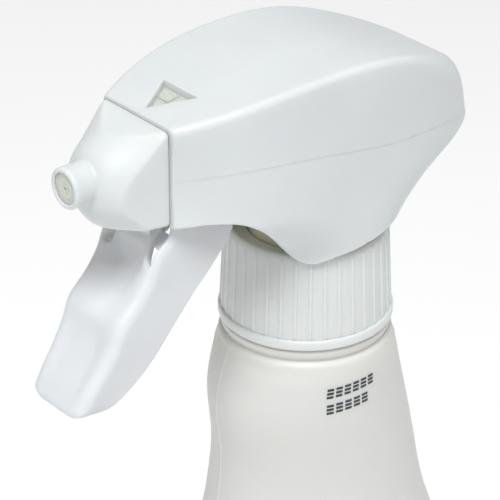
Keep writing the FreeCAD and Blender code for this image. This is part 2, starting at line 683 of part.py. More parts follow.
def trigger_shape():
    half_width = plain(cell("trigger_half_width"))
    wall = plain(cell("trigger_wall"))
    base = plain(collar_base)
    shape = slab(trigger_profile(0.0), half_width)
    narrowed = half_width - 1.6
    front_view = [
        Vector(half_width, -70, base + 60), Vector(half_width, -70, base + 16),
        Vector(narrowed, -70, base + 4), Vector(narrowed - 1.5, -70, base - 1),
        Vector(1.5 - narrowed, -70, base - 1), Vector(-narrowed, -70, base + 4),
        Vector(-half_width, -70, base + 16), Vector(-half_width, -70, base + 60)]
    outline = Part.makePolygon(front_view + front_view[:1])
    shape = shape.common(Part.Face(outline).extrude(Vector(0, 60, 0)))
    inner_view = [
        Vector(half_width - wall, -70, base + 60), Vector(half_width - wall, -70, base + 16),
        Vector(narrowed - wall, -70, base + 4), Vector(narrowed - wall, -70, base - 10),
        Vector(wall - narrowed, -70, base - 10), Vector(wall - narrowed, -70, base + 4),
        Vector(wall - half_width, -70, base + 16), Vector(wall - half_width, -70, base + 60)]
    channel = Part.Face(Part.makePolygon(inner_view + inner_view[:1])).extrude(Vector(0, 60, 0))
    shape = shape.cut(channel.common(slab(trigger_profile(1.6), half_width)))
    throat = Part.makeBox(2 * (half_width - wall), 20, 30, Vector(-(half_width - wall), -50, base + 36.5))
    shape = shape.cut(throat)
    groove_ends = [Vector(-4.6, -60, base + 40), Vector(-3.8, -60, base + 31),
                   Vector(-0.8, -60, base + 16.5), Vector(0.8, -60, base + 16.5),
                   Vector(3.8, -60, base + 31), Vector(4.6, -60, base + 40)]
    groove = Part.Face(Part.makePolygon(groove_ends + groove_ends[:1])).extrude(Vector(0, 18.6, 0))
    web_ends = [Vector(-6.2, -41.4, base + 31.4), Vector(-2.2, -41.4, base + 14.8),
                Vector(2.2, -41.4, base + 14.8), Vector(6.2, -41.4, base + 31.4)]
    web = Part.Face(Part.makePolygon(web_ends + web_ends[:1])).extrude(Vector(0, 1.5, 0))
    upper_web = Part.makeBox(12.4, 1.5, 7.6, Vector(-6.2, -39.1, base + 29.0))
    shape = shape.cut(groove).fuse([web, upper_web])
    pad_start = Vector(-PAD_LENGTH / 2, -PAD_FRONT, plain(cylinder_height))
    shape = shape.fuse(Part.makeCylinder(PAD_RADIUS, PAD_LENGTH, pad_start, Vector(1, 0, 0)))
    for side in (1, -1):
        middle = side * SLOT_MIDDLE
        corner = Vector(middle - SLOT_WIDTH / 2, -45.0, base + SLOT_BOTTOM)
        shape = shape.cut(Part.makeBox(SLOT_WIDTH, 6.0, SLOT_LENGTH, corner))
    hole = Part.makeCylinder(plain(cell("pivot_radius")) + plain(cell("pivot_clearance")), 30,
                             Vector(-15, PIVOT.y, PIVOT.z), Vector(1, 0, 0))
    return shape.cut(hole).removeSplitter()


solid_part("trigger", trigger_shape())


# Shroud: one moulded cover, necked in round the collar, with a flat-topped leaf-shaped back

LEAF_HALF_WIDTH = 16.6
LEAF_WIDEST = -3.0
LEAF_FRONT = -46.0
LEAF_REAR = 38.6
ARROW_FRONT = 37.7
ARROW_REAR = 29.9
ARROW_HALF_WIDTH = 4.8
ARROW_FLOOR = 51.4
CREST_HEIGHTS = [(-39.64, 53.9), (-31.0, 55.3), (-19.0, 56.9), (-7.0, 57.4), (1.0, 57.0), (9.0, 55.6),
                 (17.0, 53.1), (25.0, 49.7), (30.5, 46.9), (34.6, 43.2), (37.0, 38.4), (38.2, 33.0)]


def leaf_width(position):
    """Half width of the shroud's back: full near the collar, narrower at the seam, round behind."""
    if position < LEAF_WIDEST:
        share = (LEAF_WIDEST - position) / (LEAF_WIDEST + seam)
        return LEAF_HALF_WIDTH * (1 - 0.404 * share ** 2.9)
    share = (position - LEAF_WIDEST) / (LEAF_REAR - LEAF_WIDEST)
    return LEAF_HALF_WIDTH * max(1 - share ** 2, 0.0) ** 0.7


def shroud_section(height, spread, inset):
    """One level of the cover. spread runs from 0 at the round skirt to 1 at the full back."""
    skirt = plain(cell("skirt_radius"))
    stations = 12
    right = []
    for i in range(stations + 1):
        turn = math.pi * i / stations
        along = (LEAF_FRONT + LEAF_REAR) / 2 - (LEAF_REAR - LEAF_FRONT) / 2 * math.cos(turn)
        leaf = Vector(leaf_width(along) if 0 < i < stations else 0.0, along, height)
        ring = Vector(skirt * math.sin(turn), -skirt * math.cos(turn), height)
        right.append(ring + (leaf - ring) * spread)
    inner = [right[0] + Vector(0, inset, 0)]
    for before, point, after in zip(right, right[1:], right[2:]):
        heading = (after - before).normalize()
        inner.append(point + Vector(-heading.y, heading.x, 0) * inset)
    inner.append(right[-1] - Vector(0, inset, 0))
    left = [Vector(-point.x, point.y, point.z) for point in reversed(inner[1:-1])]
    return Part.Wire(fitted_curve(inner + left, closed=True))


def shroud_mass(inset):
    base = plain(collar_base)
    levels = [(17.0, 0.0), (19.5, 0.02), (21.5, 0.13), (23.5, 0.28), (25.5, 0.45), (27.5, 0.63),
              (29.5, 0.81), (31.5, 0.94), (33.5, 0.99), (36.0, 1.0), (60.0, 1.0)]
    sections = [shroud_section(base + height, spread, inset) for height, spread in levels]
    mass = Part.makeLoft(sections, True, True)
    crest = [Vector(-40, y, base + height - inset) for y, height in CREST_HEIGHTS]
    crest = [Vector(-40, point.y - (inset if i > 8 else 0), point.z) for i, point in enumerate(crest)]
    curve = fitted_curve(crest)
    low_rear = Vector(-40, crest[-1].y, base + 10)
    low_front = Vector(-40, -seam, base + 10)
    corners = [crest[-1], low_rear, low_front, crest[0]]
    edges = [curve] + [Part.makeLine(a, b) for a, b in zip(corners, corners[1:])]
    side = Part.Face(Part.Wire(edges)).extrude(Vector(80, 0, 0))
    return mass.common(side)


def arch_cut():
    """What is open below the cover's front edge: the trigger's throat and the arch to the skirt."""
    base = plain(collar_base)
    edge = [(45.0, 34.9), (34.0, 34.9), (29.5, 34.0), (24.5, 31.3), (20.4, 26.7), (17.6, 23.0), (14.6, 20.0),
            (11.4, 18.9), (4.0, 20.0), (-8.0, 21.3), (-24.0, 21.9)]
    points = [Vector(-40, -reach, base + height) for reach, height in edge]
    curve = fitted_curve(points[1:])
    corners = [points[-1], Vector(-40, 24.0, base), Vector(-40, -45.0, base), points[0], points[1]]
    edges = [curve] + [Part.makeLine(a, b) for a, b in zip(corners, corners[1:])]
    return Part.Face(Part.Wire(edges)).extrude(Vector(80, 0, 0))


def shroud_shape():
    base = plain(collar_base)
    wall = plain(cell("shroud_wall"))
    shape = shroud_mass(0.0)
    shape = shape.cut(shroud_mass(wall)).cut(arch_cut())
    floor = base + ARROW_FLOOR
    corners = [Vector(0, -ARROW_FRONT, floor), Vector(-ARROW_HALF_WIDTH, -ARROW_REAR, floor),
               Vector(ARROW_HALF_WIDTH, -ARROW_REAR, floor)]
    opening = Part.Face(Part.makePolygon(corners + corners[:1])).extrude(Vector(0, 0, 12))
    surround = Part.makeBox(12.0, 10.0, 4.0, Vector(-6.0, -ARROW_FRONT - 0.9, floor - 1.0))
    shape = shape.fuse(surround.common(shroud_mass(0.3))).cut(opening)
    return shape.removeSplitter()


solid_part("shroud", shroud_shape())


# Nozzle cap: a square block under a dome, hollow behind, turning on the delivery spigot

nozzle = new_body("nozzle_cap")
nozzle_back = cell("seam_front") + cell("nozzle_gap")
half_side = cell("nozzle_half_side")
spout_radius = cell("spout_radius")
spout_front = cell("spout_front")
SPOUT_ROOT = 52.3
SPOUT_EDGE = 0.4
revolve(nozzle, [
    along_y(nozzle_back, 0.0), along_y(nozzle_back, half_side * 1.38), along_y(44.0, half_side * 1.22),
    along_y(46.6, half_side * 1.06), along_y(49.0, half_side * 0.9), along_y(50.8, 7.0),
    along_y(51.8, 5.6), along_y(SPOUT_ROOT, spout_radius), along_y(spout_front - SPOUT_EDGE, spout_radius),
    along_y(spout_front, spout_radius - SPOUT_EDGE), along_y(spout_front, 0.0)], "YZ_Plane", "H_Axis")


def outside_square(sketch):
    draw_outline(sketch, [(-20.0, -20.0), (20.0, -20.0), (20.0, 20.0), (-20.0, 20.0)])
    draw_outline(sketch, [(-half_side, -half_side), (half_side, -half_side),
                          (half_side, half_side), (-half_side, half_side)])


extrude(nozzle, "XZ_Plane", spout_front * 2 + 10.0, outside_square, cut=True)
NOZZLE_CAVITY = 6.9
SOCKET_WALL = 4.4
SOCKET_FRONT = 49.2
PASSAGE_RADIUS = 1.3
CUP_BACK = 53.4
CUP_RADIUS = 2.9
socket_radius = spigot_radius + 0.05
revolve(nozzle, [
    along_y(nozzle_back - 1.0, SOCKET_WALL), along_y(nozzle_back - 1.0, NOZZLE_CAVITY),
    along_y(48.0, NOZZLE_CAVITY), along_y(49.6, SOCKET_WALL)], "YZ_Plane", "H_Axis", cut=True)
revolve(nozzle, [
    along_y(nozzle_back - 1.0, 0.0), along_y(nozzle_back - 1.0, socket_radius),
    along_y(SOCKET_FRONT, socket_radius), along_y(SOCKET_FRONT, PASSAGE_RADIUS),
    along_y(CUP_BACK, PASSAGE_RADIUS), along_y(CUP_BACK, CUP_RADIUS), along_y(spout_front + 1.0, CUP_RADIUS),
    along_y(spout_front + 1.0, 0.0)], "YZ_Plane", "H_Axis", cut=True)
nozzle.Placement = Placement(Vector(0, 0, plain(nozzle_height)), Rotation())

orifice = new_body("orifice_cup")
ORIFICE_RADIUS = 0.35
ORIFICE_BACK = 54.2
cup_rim = spout_front - 0.8
cup_face = spout_front - 0.45
revolve(orifice, [
    along_y(CUP_BACK, PASSAGE_RADIUS), along_y(CUP_BACK, CUP_RADIUS), along_y(cup_rim, CUP_RADIUS),
    along_y(cup_rim, 1.9), along_y(cup_face, 1.7), along_y(cup_face, ORIFICE_RADIUS),
    along_y(ORIFICE_BACK, ORIFICE_RADIUS), along_y(ORIFICE_BACK, PASSAGE_RADIUS)], "YZ_Plane", "H_Axis")
orifice.Placement = Placement(Vector(0, 0, plain(nozzle_height)), Rotation())

swirl = new_body("swirl_plug")
delivery_bore = cell("delivery_bore")
SWIRL_BACK = 43.0
SWIRL_HEAD_RADIUS = 2.2
SWIRL_FRONT = SPIGOT_FRONT + 0.9
GROOVE_INNER = 0.9
GROOVE_OUTER = 1.5
revolve(swirl, [
    along_y(SWIRL_BACK, 0.0), along_y(SWIRL_BACK, delivery_bore), along_y(SPIGOT_FRONT, delivery_bore),
    along_y(SPIGOT_FRONT, SWIRL_HEAD_RADIUS), along_y(SWIRL_FRONT, SWIRL_HEAD_RADIUS),
    along_y(SWIRL_FRONT, 0.0)], "YZ_Plane", "H_Axis")


def swirl_grooves(sketch):
    reach = SWIRL_HEAD_RADIUS + 0.8
    draw_outline(sketch, [(-reach, GROOVE_INNER), (reach, GROOVE_INNER), (reach, GROOVE_OUTER),
                          (-reach, GROOVE_OUTER)])
    draw_outline(sketch, [(-reach, -GROOVE_OUTER), (reach, -GROOVE_OUTER), (reach, -GROOVE_INNER),
                          (-reach, -GROOVE_INNER)])


extrude(swirl, "XZ_Plane", SPIGOT_FRONT + 0.3, swirl_grooves, cut=True, both_ways=False, backwards=True)
swirl.Placement = Placement(Vector(0, 0, plain(nozzle_height)), Rotation())

nozzle_seal = doc.addObject("Part::Torus", "nozzle_seal")
nozzle_seal.Label = "nozzle_seal"
nozzle_seal.Radius1 = 2.55
nozzle_seal.Radius2 = 0.45
nozzle_seal.Placement = Placement(Vector(0, -SEAL_POSITION, plain(nozzle_height)),
                                  Rotation(Vector(1, 0, 0), 90))
SUB_PARTS.append(nozzle_seal)


# Check and write ------------------------------------------------------------------------------

doc.recompute()
failed = [item.Name for item in doc.Objects if {"Invalid", "Error"} & set(item.State)]
if failed:
    raise RuntimeError("features failed: " + ", ".join(failed))
for part in SUB_PARTS:
    if part.Shape.isNull() or not part.Shape.isValid() or not part.Shape.Solids:
        raise RuntimeError(part.Label + " has no valid solid")

os.makedirs("parts", exist_ok=True)
for part in SUB_PARTS:
    part.Shape.exportStep(os.path.join("parts", part.Label + ".step"))
    box = part.Shape.BoundBox
    print(f"{part.Label:16s} solids {len(part.Shape.Solids)} volume {part.Shape.Volume:9.1f}"
          f"  x {box.XMin:6.1f} {box.XMax:6.1f}  y {box.YMin:6.1f} {box.YMax:6.1f}"
          f"  z {box.ZMin:6.1f} {box.ZMax:6.1f}")
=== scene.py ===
import math

import bpy
import numpy as np
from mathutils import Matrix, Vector


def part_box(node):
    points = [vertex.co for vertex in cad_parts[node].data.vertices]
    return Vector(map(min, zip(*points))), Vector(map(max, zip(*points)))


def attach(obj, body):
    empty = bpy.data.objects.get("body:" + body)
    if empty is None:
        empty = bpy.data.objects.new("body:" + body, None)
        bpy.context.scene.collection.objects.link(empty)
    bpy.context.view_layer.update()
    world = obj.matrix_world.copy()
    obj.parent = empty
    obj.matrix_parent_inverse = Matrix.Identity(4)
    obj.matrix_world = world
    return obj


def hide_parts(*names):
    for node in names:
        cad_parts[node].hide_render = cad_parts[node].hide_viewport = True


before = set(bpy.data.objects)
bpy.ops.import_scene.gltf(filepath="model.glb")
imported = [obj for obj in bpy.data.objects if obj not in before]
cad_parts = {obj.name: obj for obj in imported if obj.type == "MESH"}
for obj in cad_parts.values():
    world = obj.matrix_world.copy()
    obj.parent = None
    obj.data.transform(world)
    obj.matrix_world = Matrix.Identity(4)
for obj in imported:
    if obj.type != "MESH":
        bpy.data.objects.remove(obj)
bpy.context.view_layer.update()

# A trigger spray bottle. Shapes are worked out in millimetres: X across, -Y towards the nozzle, Z up.
# Heights on the head are counted from the collar's foot, which the frame gives.

MM = 0.001


def box_mm(node):
    low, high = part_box(node)
    return np.array(low) / MM, np.array(high) / MM


collar_low, collar_high = box_mm("collar")
nozzle_low, nozzle_high = box_mm("nozzle_cap")
shroud_low, shroud_high = box_mm("shroud")
bottle_low, bottle_high = box_mm("bottle")
trigger_low, trigger_high = box_mm("trigger")

BASE = collar_low[2]
AXIS = (nozzle_low[2] + nozzle_high[2]) / 2 - BASE
SEAM = -shroud_low[1]
NOZZLE_BACK = SEAM + 0.2
SPOUT_FRONT = -nozzle_low[1]
NECK_TOP = bottle_high[2]


# Meshes

def new_piece(name, vertices, faces, material, sharp_degrees=None):
    """A mesh object from vertices in millimetres."""
    mesh = bpy.data.meshes.new(name)
    loops = faces.tolist() if isinstance(faces, np.ndarray) else faces
    mesh.from_pydata((np.asarray(vertices, float) * MM).tolist(), [], loops)
    mesh.validate()
    piece = bpy.data.objects.new(name, mesh)
    bpy.context.scene.collection.objects.link(piece)
    finish_mesh(mesh, material, sharp_degrees)
    return piece


def finish_mesh(mesh, material, sharp_degrees):
    """Smooth shading with hard edges over an angle, and one material."""
    mesh.shade_smooth()
    if sharp_degrees is not None:
        mesh.set_sharp_from_angle(angle=math.radians(sharp_degrees))
    mesh.materials.clear()
    mesh.materials.append(material)


def spline(points, per_span=8):
    """A smooth curve through a few points, as a cubic spline by chord length."""
    given = np.asarray(points, float)
    chord = np.linalg.norm(np.diff(given, axis=0), axis=1)
    knots = np.concatenate([[0.0], np.cumsum(chord)])
    count = len(given)
    system = np.eye(count)
    right = np.zeros_like(given)
    for i in range(1, count - 1):
        system[i, i - 1] = chord[i - 1]
        system[i, i] = 2 * (chord[i - 1] + chord[i])
        system[i, i + 1] = chord[i]
        right[i] = 6 * ((given[i + 1] - given[i]) / chord[i] - (given[i] - given[i - 1]) / chord[i - 1])
    bend = np.linalg.solve(system, right)
    path = []
    for i in range(count - 1):
        for share in np.arange(per_span) / per_span:
            left = (1 - share) * chord[i]
            done = share * chord[i]
            path.append(bend[i] * left ** 3 / (6 * chord[i]) + bend[i + 1] * done ** 3 / (6 * chord[i])
                        + (given[i] / chord[i] - bend[i] * chord[i] / 6) * left
                        + (given[i + 1] / chord[i] - bend[i + 1] * chord[i] / 6) * done)
    path.append(given[-1])
    return np.array(path)


def surface_of_turn(rings, closed_ends=True):
    """Vertices and quads over rings of equal length. Rings that rise give faces that look outwards."""
    rings = np.asarray(rings, float)
    levels, around = rings.shape[:2]
    vertices = rings.reshape(-1, 3)
    index = np.arange(levels * around).reshape(levels, around)
    faces = []
    for i in range(levels - 1):
        low, high = index[i], index[i + 1]
        faces += np.stack([low, np.roll(low, -1), np.roll(high, -1), high], 1).tolist()
    if closed_ends:
        faces += [index[0][::-1].tolist(), index[-1].tolist()]
    return vertices, faces


def turned_on_spray_axis(profile, around=72):
    """A skin turned about the spray axis from a closed profile of (radius, reach)."""
    turn = np.linspace(0, 2 * math.pi, around, endpoint=False)
    rings = []
    for radius, reach in profile:
        ring = np.stack([radius * np.cos(turn), np.full(around, -reach), radius * np.sin(turn)], 1)
        rings.append(ring + (0.0, 0.0, BASE + AXIS))
    rings.append(rings[0])
    return surface_of_turn(rings, closed_ends=False)


LONGEST_SHARE = 0.45


def rounded(corners, radius=0.3, steps=4, closed=False):
    """An outline with each corner rounded off, by arcs no longer than the edges allow."""
    corners = [np.array(corner, float) for corner in corners]
    count = len(corners)
    outline = []
    for i, corner in enumerate(corners):
        if not closed and i in (0, count - 1):
            outline.append(corner)
            continue
        before = corners[i - 1] - corner
        after = corners[(i + 1) % count] - corner
        before_length = np.linalg.norm(before)
        after_length = np.linalg.norm(after)
        reach = min(radius, before_length * LONGEST_SHARE, after_length * LONGEST_SHARE)
        start = corner + before / before_length * reach
        end = corner + after / after_length * reach
        for share in np.linspace(0, 1, steps + 1):
            outline.append((1 - share) ** 2 * start + 2 * share * (1 - share) * corner + share ** 2 * end)
    return np.array(outline)


# Shapes as fields: a field is negative inside, and close to a distance near its surface --------

LONGEST_MOVE = 0.3
LEAST_SLOPE = 0.2


def cell_edges():
    """The twelve edges of a unit cell, as pairs of corners."""
    edges = []
    for axis in range(3):
        for second in (0, 1):
            for first in (0, 1):
                corner = np.insert([first, second], axis, 0)
                edges.append((corner, corner + np.eye(3, dtype=int)[axis]))
    return edges


def both(a, b, radius=0.0):
    """Inside a and inside b, with the edge between them rounded to a radius."""
    if np.isscalar(radius) and radius == 0.0:
        return np.maximum(a, b)
    corner = np.hypot(np.maximum(a + radius, 0), np.maximum(b + radius, 0))
    return corner + np.minimum(np.maximum(a, b), -radius)


def either(a, b, radius=0.0):
    """Inside a or inside b, with the corner between them filled to a radius."""
    return -both(-a, -b, radius)


def without(a, b, radius=0.0):
    """Inside a and outside b."""
    return both(a, -b, radius)


def ramp(value, start, end):
    """A smooth step from 0 at start to 1 at end."""
    share = np.clip((value - start) / (end - start), 0, 1)
    return share * share * (3 - 2 * share)


class Outline:
    """Signed distance from a closed outline in a plane, looked up in a table."""

    STEP = 0.2
    MARGIN = 8.0
    FAR = 1e9

    def __init__(self, path):
        path = np.asarray(path, float)
        self.low = path.min(0) - self.MARGIN
        high = path.max(0) + self.MARGIN
        self.size = np.ceil((high - self.low) / self.STEP).astype(int) + 1
        first = self.low[0] + self.STEP * np.arange(self.size[0])
        second = self.low[1] + self.STEP * np.arange(self.size[1])
        u, v = np.meshgrid(first, second, indexing="ij")
        nearest = np.full(u.shape, self.FAR)
        inside = np.zeros(u.shape, bool)
        for start, end in zip(path, np.roll(path, -1, 0)):
            run = end - start
            length = run @ run
            if length == 0:
                continue
            share = np.clip(((u - start[0]) * run[0] + (v - start[1]) * run[1]) / length, 0, 1)
            off = np.hypot(u - start[0] - share * run[0], v - start[1] - share * run[1])
            nearest = np.minimum(nearest, off)
            if start[1] != end[1]:
                crossing = (v < start[1]) != (v < end[1])
                inside ^= crossing & (u < start[0] + (v - start[1]) * run[0] / run[1])
        self.table = np.where(inside, -nearest, nearest)

    def __call__(self, u, v):
        """The distance at (u, v), read between the table's four nearest places."""
        places = [np.clip((x - low) / self.STEP, 0, size - 1.001)
                  for x, low, size in zip((u, v), self.low, self.size)]
        i, j = (place.astype(int) for place in places)
        s, t = places[0] - i, places[1] - j
        table = self.table
        return ((table[i, j] * (1 - s) + table[i + 1, j] * s) * (1 - t)
                + (table[i, j + 1] * (1 - s) + table[i + 1, j + 1] * s) * t)


def relax(points, quads, share=0.5):
    """Moves each point part of the way to the middle of its neighbours."""
    total = np.zeros_like(points)
    links = np.zeros(len(points))
    for a, b in ((0, 1), (1, 2), (2, 3), (3, 0)):
        for here, there in ((quads[:, a], quads[:, b]), (quads[:, b], quads[:, a])):
            links += np.bincount(here, minlength=len(points))
            for k in range(3):
                total[:, k] += np.bincount(here, points[there, k], len(points))
    return points + share * (total / np.maximum(links, 1)[:, None] - points)


def settle(field, points, reach=0.03):
    """Moves points straight on to the field's surface."""
    value = field(*points.T)
    slope = np.stack([(field(*(points + step).T) - field(*(points - step).T)) / (2 * reach)
                      for step in np.eye(3) * reach], 1)
    move = np.clip(value, -LONGEST_MOVE, LONGEST_MOVE)[:, None] * slope
    return points - move / np.maximum((slope ** 2).sum(1), LEAST_SLOPE)[:, None]


def skin(field, low, high, step, rounds=3):
    """The surface of a field inside a box, as vertices and quads, evened out and settled on it."""
    low = np.asarray(low, float)
    axes = [np.arange(a, b + step, step) for a, b in zip(low, high)]
    values = field(*np.meshgrid(*axes, indexing="ij"))
    inside = values < 0
    n = [length - 1 for length in inside.shape]
    count = sum(inside[i:i + n[0], j:j + n[1], k:k + n[2]].astype(np.int8)
                for i in (0, 1) for j in (0, 1) for k in (0, 1))
    cells = np.argwhere((count > 0) & (count < 8))
    number = np.full(count.shape, -1)
    number[tuple(cells.T)] = np.arange(len(cells))
    total = np.zeros((len(cells), 3))
    crossings = np.zeros(len(cells))
    for a, b in cell_edges():
        near = values[tuple((cells + a).T)]
        far = values[tuple((cells + b).T)]
        cut = (near < 0) != (far < 0)
        share = np.where(cut, near / np.where(cut, near - far, 1.0), 0.0)
        total += cut[:, None] * (a + share[:, None] * (b - a))
        crossings += cut
    points = low + step * (cells + total / crossings[:, None])
    quads = []
    for axis in range(3):
        u, v = (axis + 1) % 3, (axis + 2) % 3
        near = np.take(inside, np.arange(n[axis]), axis)
        far = np.take(inside, np.arange(1, n[axis] + 1), axis)
        where = np.argwhere(near != far)
        where = where[(where[:, u] > 0) & (where[:, v] > 0) & (where[:, u] < n[u]) & (where[:, v] < n[v])]
        back_u, back_v = np.eye(3, dtype=int)[u], np.eye(3, dtype=int)[v]
        ring = np.stack([number[tuple((where - shift).T)]
                         for shift in (0 * back_u, back_u, back_u + back_v, back_v)], 1)
        outward = near[tuple(where.T)]
        quads.append(np.where(outward[:, None], ring, ring[:, ::-1]))
    quads = np.concatenate(quads)
    for _ in range(rounds):
        points = settle(field, relax(points, quads))
    points = settle(field, points)
    return points, quads


# Materials

BLEND_FROM = 0.35
BLEND_TO = 0.65
FLOW_MARK_SCALE = 55.0
WEAR_FROM = 0.52
WEAR_TO = 0.62
WORN_LIGHTER = 1.12
GRAIN_DEPTH = 0.00002
PLASTIC_IOR = 1.49
PLASTIC_SPECULAR = 0.42
GLOW_DEPTH = 0.004
GLOW_SPREAD = (1.0, 0.85, 0.7)
TARNISH_SCALE = 400.0
TARNISH = 0.9
SCRATCH_SCALE = 3500.0
SCRATCH_DEPTH = 0.00001
SCRATCH_STRENGTH = 0.2


def material_graph(name):
    """A new material, its nodes and links, and its main shader."""
    material = bpy.data.materials.new(name)
    material.use_nodes = True
    nodes = material.node_tree.nodes
    return material, nodes, material.node_tree.links, nodes["Principled BSDF"]


def noise_node(nodes, links, scale, detail):
    """Noise in the piece's own space."""
    place = nodes.new("ShaderNodeTexCoord")
    texture = nodes.new("ShaderNodeTexNoise")
    texture.inputs["Scale"].default_value = scale
    texture.inputs["Detail"].default_value = detail
    links.new(place.outputs["Object"], texture.inputs["Vector"])
    return texture


def blend_node(nodes, links, factor, first, second):
    """Colour that runs from first to second with a texture's value."""
    curve = nodes.new("ShaderNodeValToRGB")
    curve.color_ramp.elements[0].position = BLEND_FROM
    curve.color_ramp.elements[1].position = BLEND_TO
    curve.color_ramp.elements[0].color = (*first, 1)
    curve.color_ramp.elements[1].color = (*second, 1)
    links.new(factor, curve.inputs[0])
    return curve


def worn_colour(nodes, links, base, colour, wear):
    """The base colour with paler edges where the piece is sharp."""
    edge = nodes.new("ShaderNodeNewGeometry")
    edge_range = nodes.new("ShaderNodeMapRange")
    edge_range.inputs["From Min"].default_value = WEAR_FROM
    edge_range.inputs["From Max"].default_value = WEAR_TO
    edge_range.inputs["To Max"].default_value = wear
    links.new(edge.outputs["Pointiness"], edge_range.inputs["Value"])
    mixed = nodes.new("ShaderNodeMix")
    mixed.data_type = "RGBA"
    mixed.inputs[7].default_value = (*np.minimum(colour * WORN_LIGHTER, 1.0), 1)
    links.new(edge_range.outputs["Result"], mixed.inputs[0])
    links.new(base.outputs["Color"], mixed.inputs[6])
    return mixed.outputs[2]


def relief_node(nodes, links, texture, strength, depth, shader):
    """Bump from a texture's value."""
    relief = nodes.new("ShaderNodeBump")
    relief.inputs["Strength"].default_value = strength
    relief.inputs["Distance"].default_value = depth
    links.new(texture.outputs["Fac"], relief.inputs["Height"])
    links.new(relief.outputs["Normal"], shader.inputs["Normal"])


def plastic(name, colour, roughness=0.36, grain=0.05, grain_scale=2600.0, glow=0.0,
            variation=0.02, wear=0.05, bump=0.35):
    """Moulded plastic: faint flow marks in the colour, worn paler edges, fine grain in gloss and bump."""
    material, nodes, links, shader = material_graph(name)
    colour = np.array(colour)
    broad = noise_node(nodes, links, FLOW_MARK_SCALE, 3.0)
    darker = tuple(colour * (1 - variation))
    lighter = tuple(np.minimum(colour * (1 + variation), 1.0))
    base = blend_node(nodes, links, broad.outputs["Fac"], darker, lighter)
    links.new(worn_colour(nodes, links, base, colour, wear), shader.inputs["Base Color"])
    fine = noise_node(nodes, links, grain_scale, 2.0)
    gloss = nodes.new("ShaderNodeMapRange")
    gloss.inputs["From Min"].default_value = 0.3
    gloss.inputs["From Max"].default_value = 0.7
    gloss.inputs["To Min"].default_value = roughness - grain
    gloss.inputs["To Max"].default_value = roughness + grain
    links.new(fine.outputs["Fac"], gloss.inputs["Value"])
    links.new(gloss.outputs["Result"], shader.inputs["Roughness"])
    relief_node(nodes, links, fine, bump, GRAIN_DEPTH, shader)
    shader.inputs["IOR"].default_value = PLASTIC_IOR
    shader.inputs["Specular IOR Level"].default_value = PLASTIC_SPECULAR
    if glow:
        shader.inputs["Subsurface Weight"].default_value = glow
        shader.inputs["Subsurface Scale"].default_value = GLOW_DEPTH
        shader.inputs["Subsurface Radius"].default_value = GLOW_SPREAD
    return material


def metal(name, colour, roughness=0.28):
    """Drawn or ground steel, with fine scratches in gloss and bump."""
    material, nodes, links, shader = material_graph(name)
    broad = noise_node(nodes, links, TARNISH_SCALE, 4.0)
    base = blend_node(nodes, links, broad.outputs["Fac"], tuple(np.array(colour) * TARNISH), colour)
    links.new(base.outputs["Color"], shader.inputs["Base Color"])
    shader.inputs["Metallic"].default_value = 1.0
    fine = noise_node(nodes, links, SCRATCH_SCALE, 3.0)
    gloss = nodes.new("ShaderNodeMapRange")
    gloss.inputs["To Min"].default_value = roughness * 0.7
    gloss.inputs["To Max"].default_value = roughness * 1.4
    links.new(fine.outputs["Fac"], gloss.inputs["Value"])
    links.new(gloss.outputs["Result"], shader.inputs["Roughness"])
    relief_node(nodes, links, fine, SCRATCH_STRENGTH, SCRATCH_DEPTH, shader)
    return material


WHITE = plastic("white_moulded", (0.642, 0.670, 0.677), 0.34, glow=0.5)
WHITE_NOZZLE = plastic("white_nozzle", (0.640, 0.668, 0.668), 0.46, glow=0.5)
WHITE_COLLAR = plastic("white_collar", (0.665, 0.688, 0.680), 0.32, glow=0.5, bump=0.12, grain=0.03)
WHITE_TRIGGER = plastic("white_trigger", (0.652, 0.673, 0.697), 0.33, glow=0.5)
NATURAL = plastic("natural_moulded", (0.90, 0.87, 0.68), 0.40, glow=0.5)
# A darker, yellower white: painted shade. It stands in for the shade in the arrow recess and in the gap
# behind the nozzle, and the orifice insert takes the same tone.
PAINTED_SHADE_WHITE = plastic("white_painted_shade", (0.60, 0.61, 0.54), 0.36, glow=0.5)
IVORY = plastic("bottle_ivory", (0.665, 0.662, 0.635), 0.42, grain=0.07, grain_scale=1500.0, glow=0.5,
                variation=0.012, bump=0.5)
TUBE = plastic("tube_natural", (0.70, 0.71, 0.69), 0.30, glow=0.4)
RUBBER = plastic("seal_rubber", (0.30, 0.31, 0.32), 0.62, grain=0.1, wear=0.0)
INK = plastic("marking_ink", (0.036, 0.042, 0.046), 0.55, grain=0.12, grain_scale=3200.0, variation=0.35,
              wear=0.0)
SPRING_STEEL = metal("spring_steel", (0.60, 0.60, 0.61))
BALL_STEEL = metal("ball_steel", (0.72, 0.72, 0.73), 0.12)


# Shroud

LEAF_HALF_WIDTH = 16.8
LEAF_WIDEST = -3.0
LEAF_FRONT = -46.0
LEAF_REAR = 39.4
SKIRT_RADIUS = 16.9
SHROUD_WALL = 1.4
SEAM_NARROWING = 0.404
NARROWING_POWER = 2.9
TAIL_POWER = 0.62
SLOPE_STEP = 0.05
CREASE_FRONT = 1.2
CREASE_GROWTH = 2.8
CREASE_GROWS = (8.0, 36.0)
SHROUD_EDGE = 0.3
SHROUD_STEP = 0.42
SHROUD_MARGIN = 1.5
CREST = [(-60.0, 50.5), (-39.6, 54.2), (-31.0, 55.65), (-19.0, 57.25), (-7.0, 57.75), (1.0, 57.35),
         (9.0, 55.9), (17.0, 53.3), (25.0, 49.8), (30.5, 46.5), (34.5, 42.9), (37.3, 38.4), (39.0, 33.0)]
ARCH_EDGE = [(-34.0, 34.9), (-30.5, 34.35), (-27.4, 33.4), (-25.4, 32.3), (-23.1, 30.7), (-20.8, 28.6),
             (-18.3, 26.2), (-15.7, 23.5), (-13.8, 21.5), (-12.5, 20.0), (-11.3, 19.05), (-10.2, 18.8),
             (-6.5, 19.8), (-3.6, 20.4), (3.3, 21.3), (10.0, 21.7), (24.0, 21.9)]
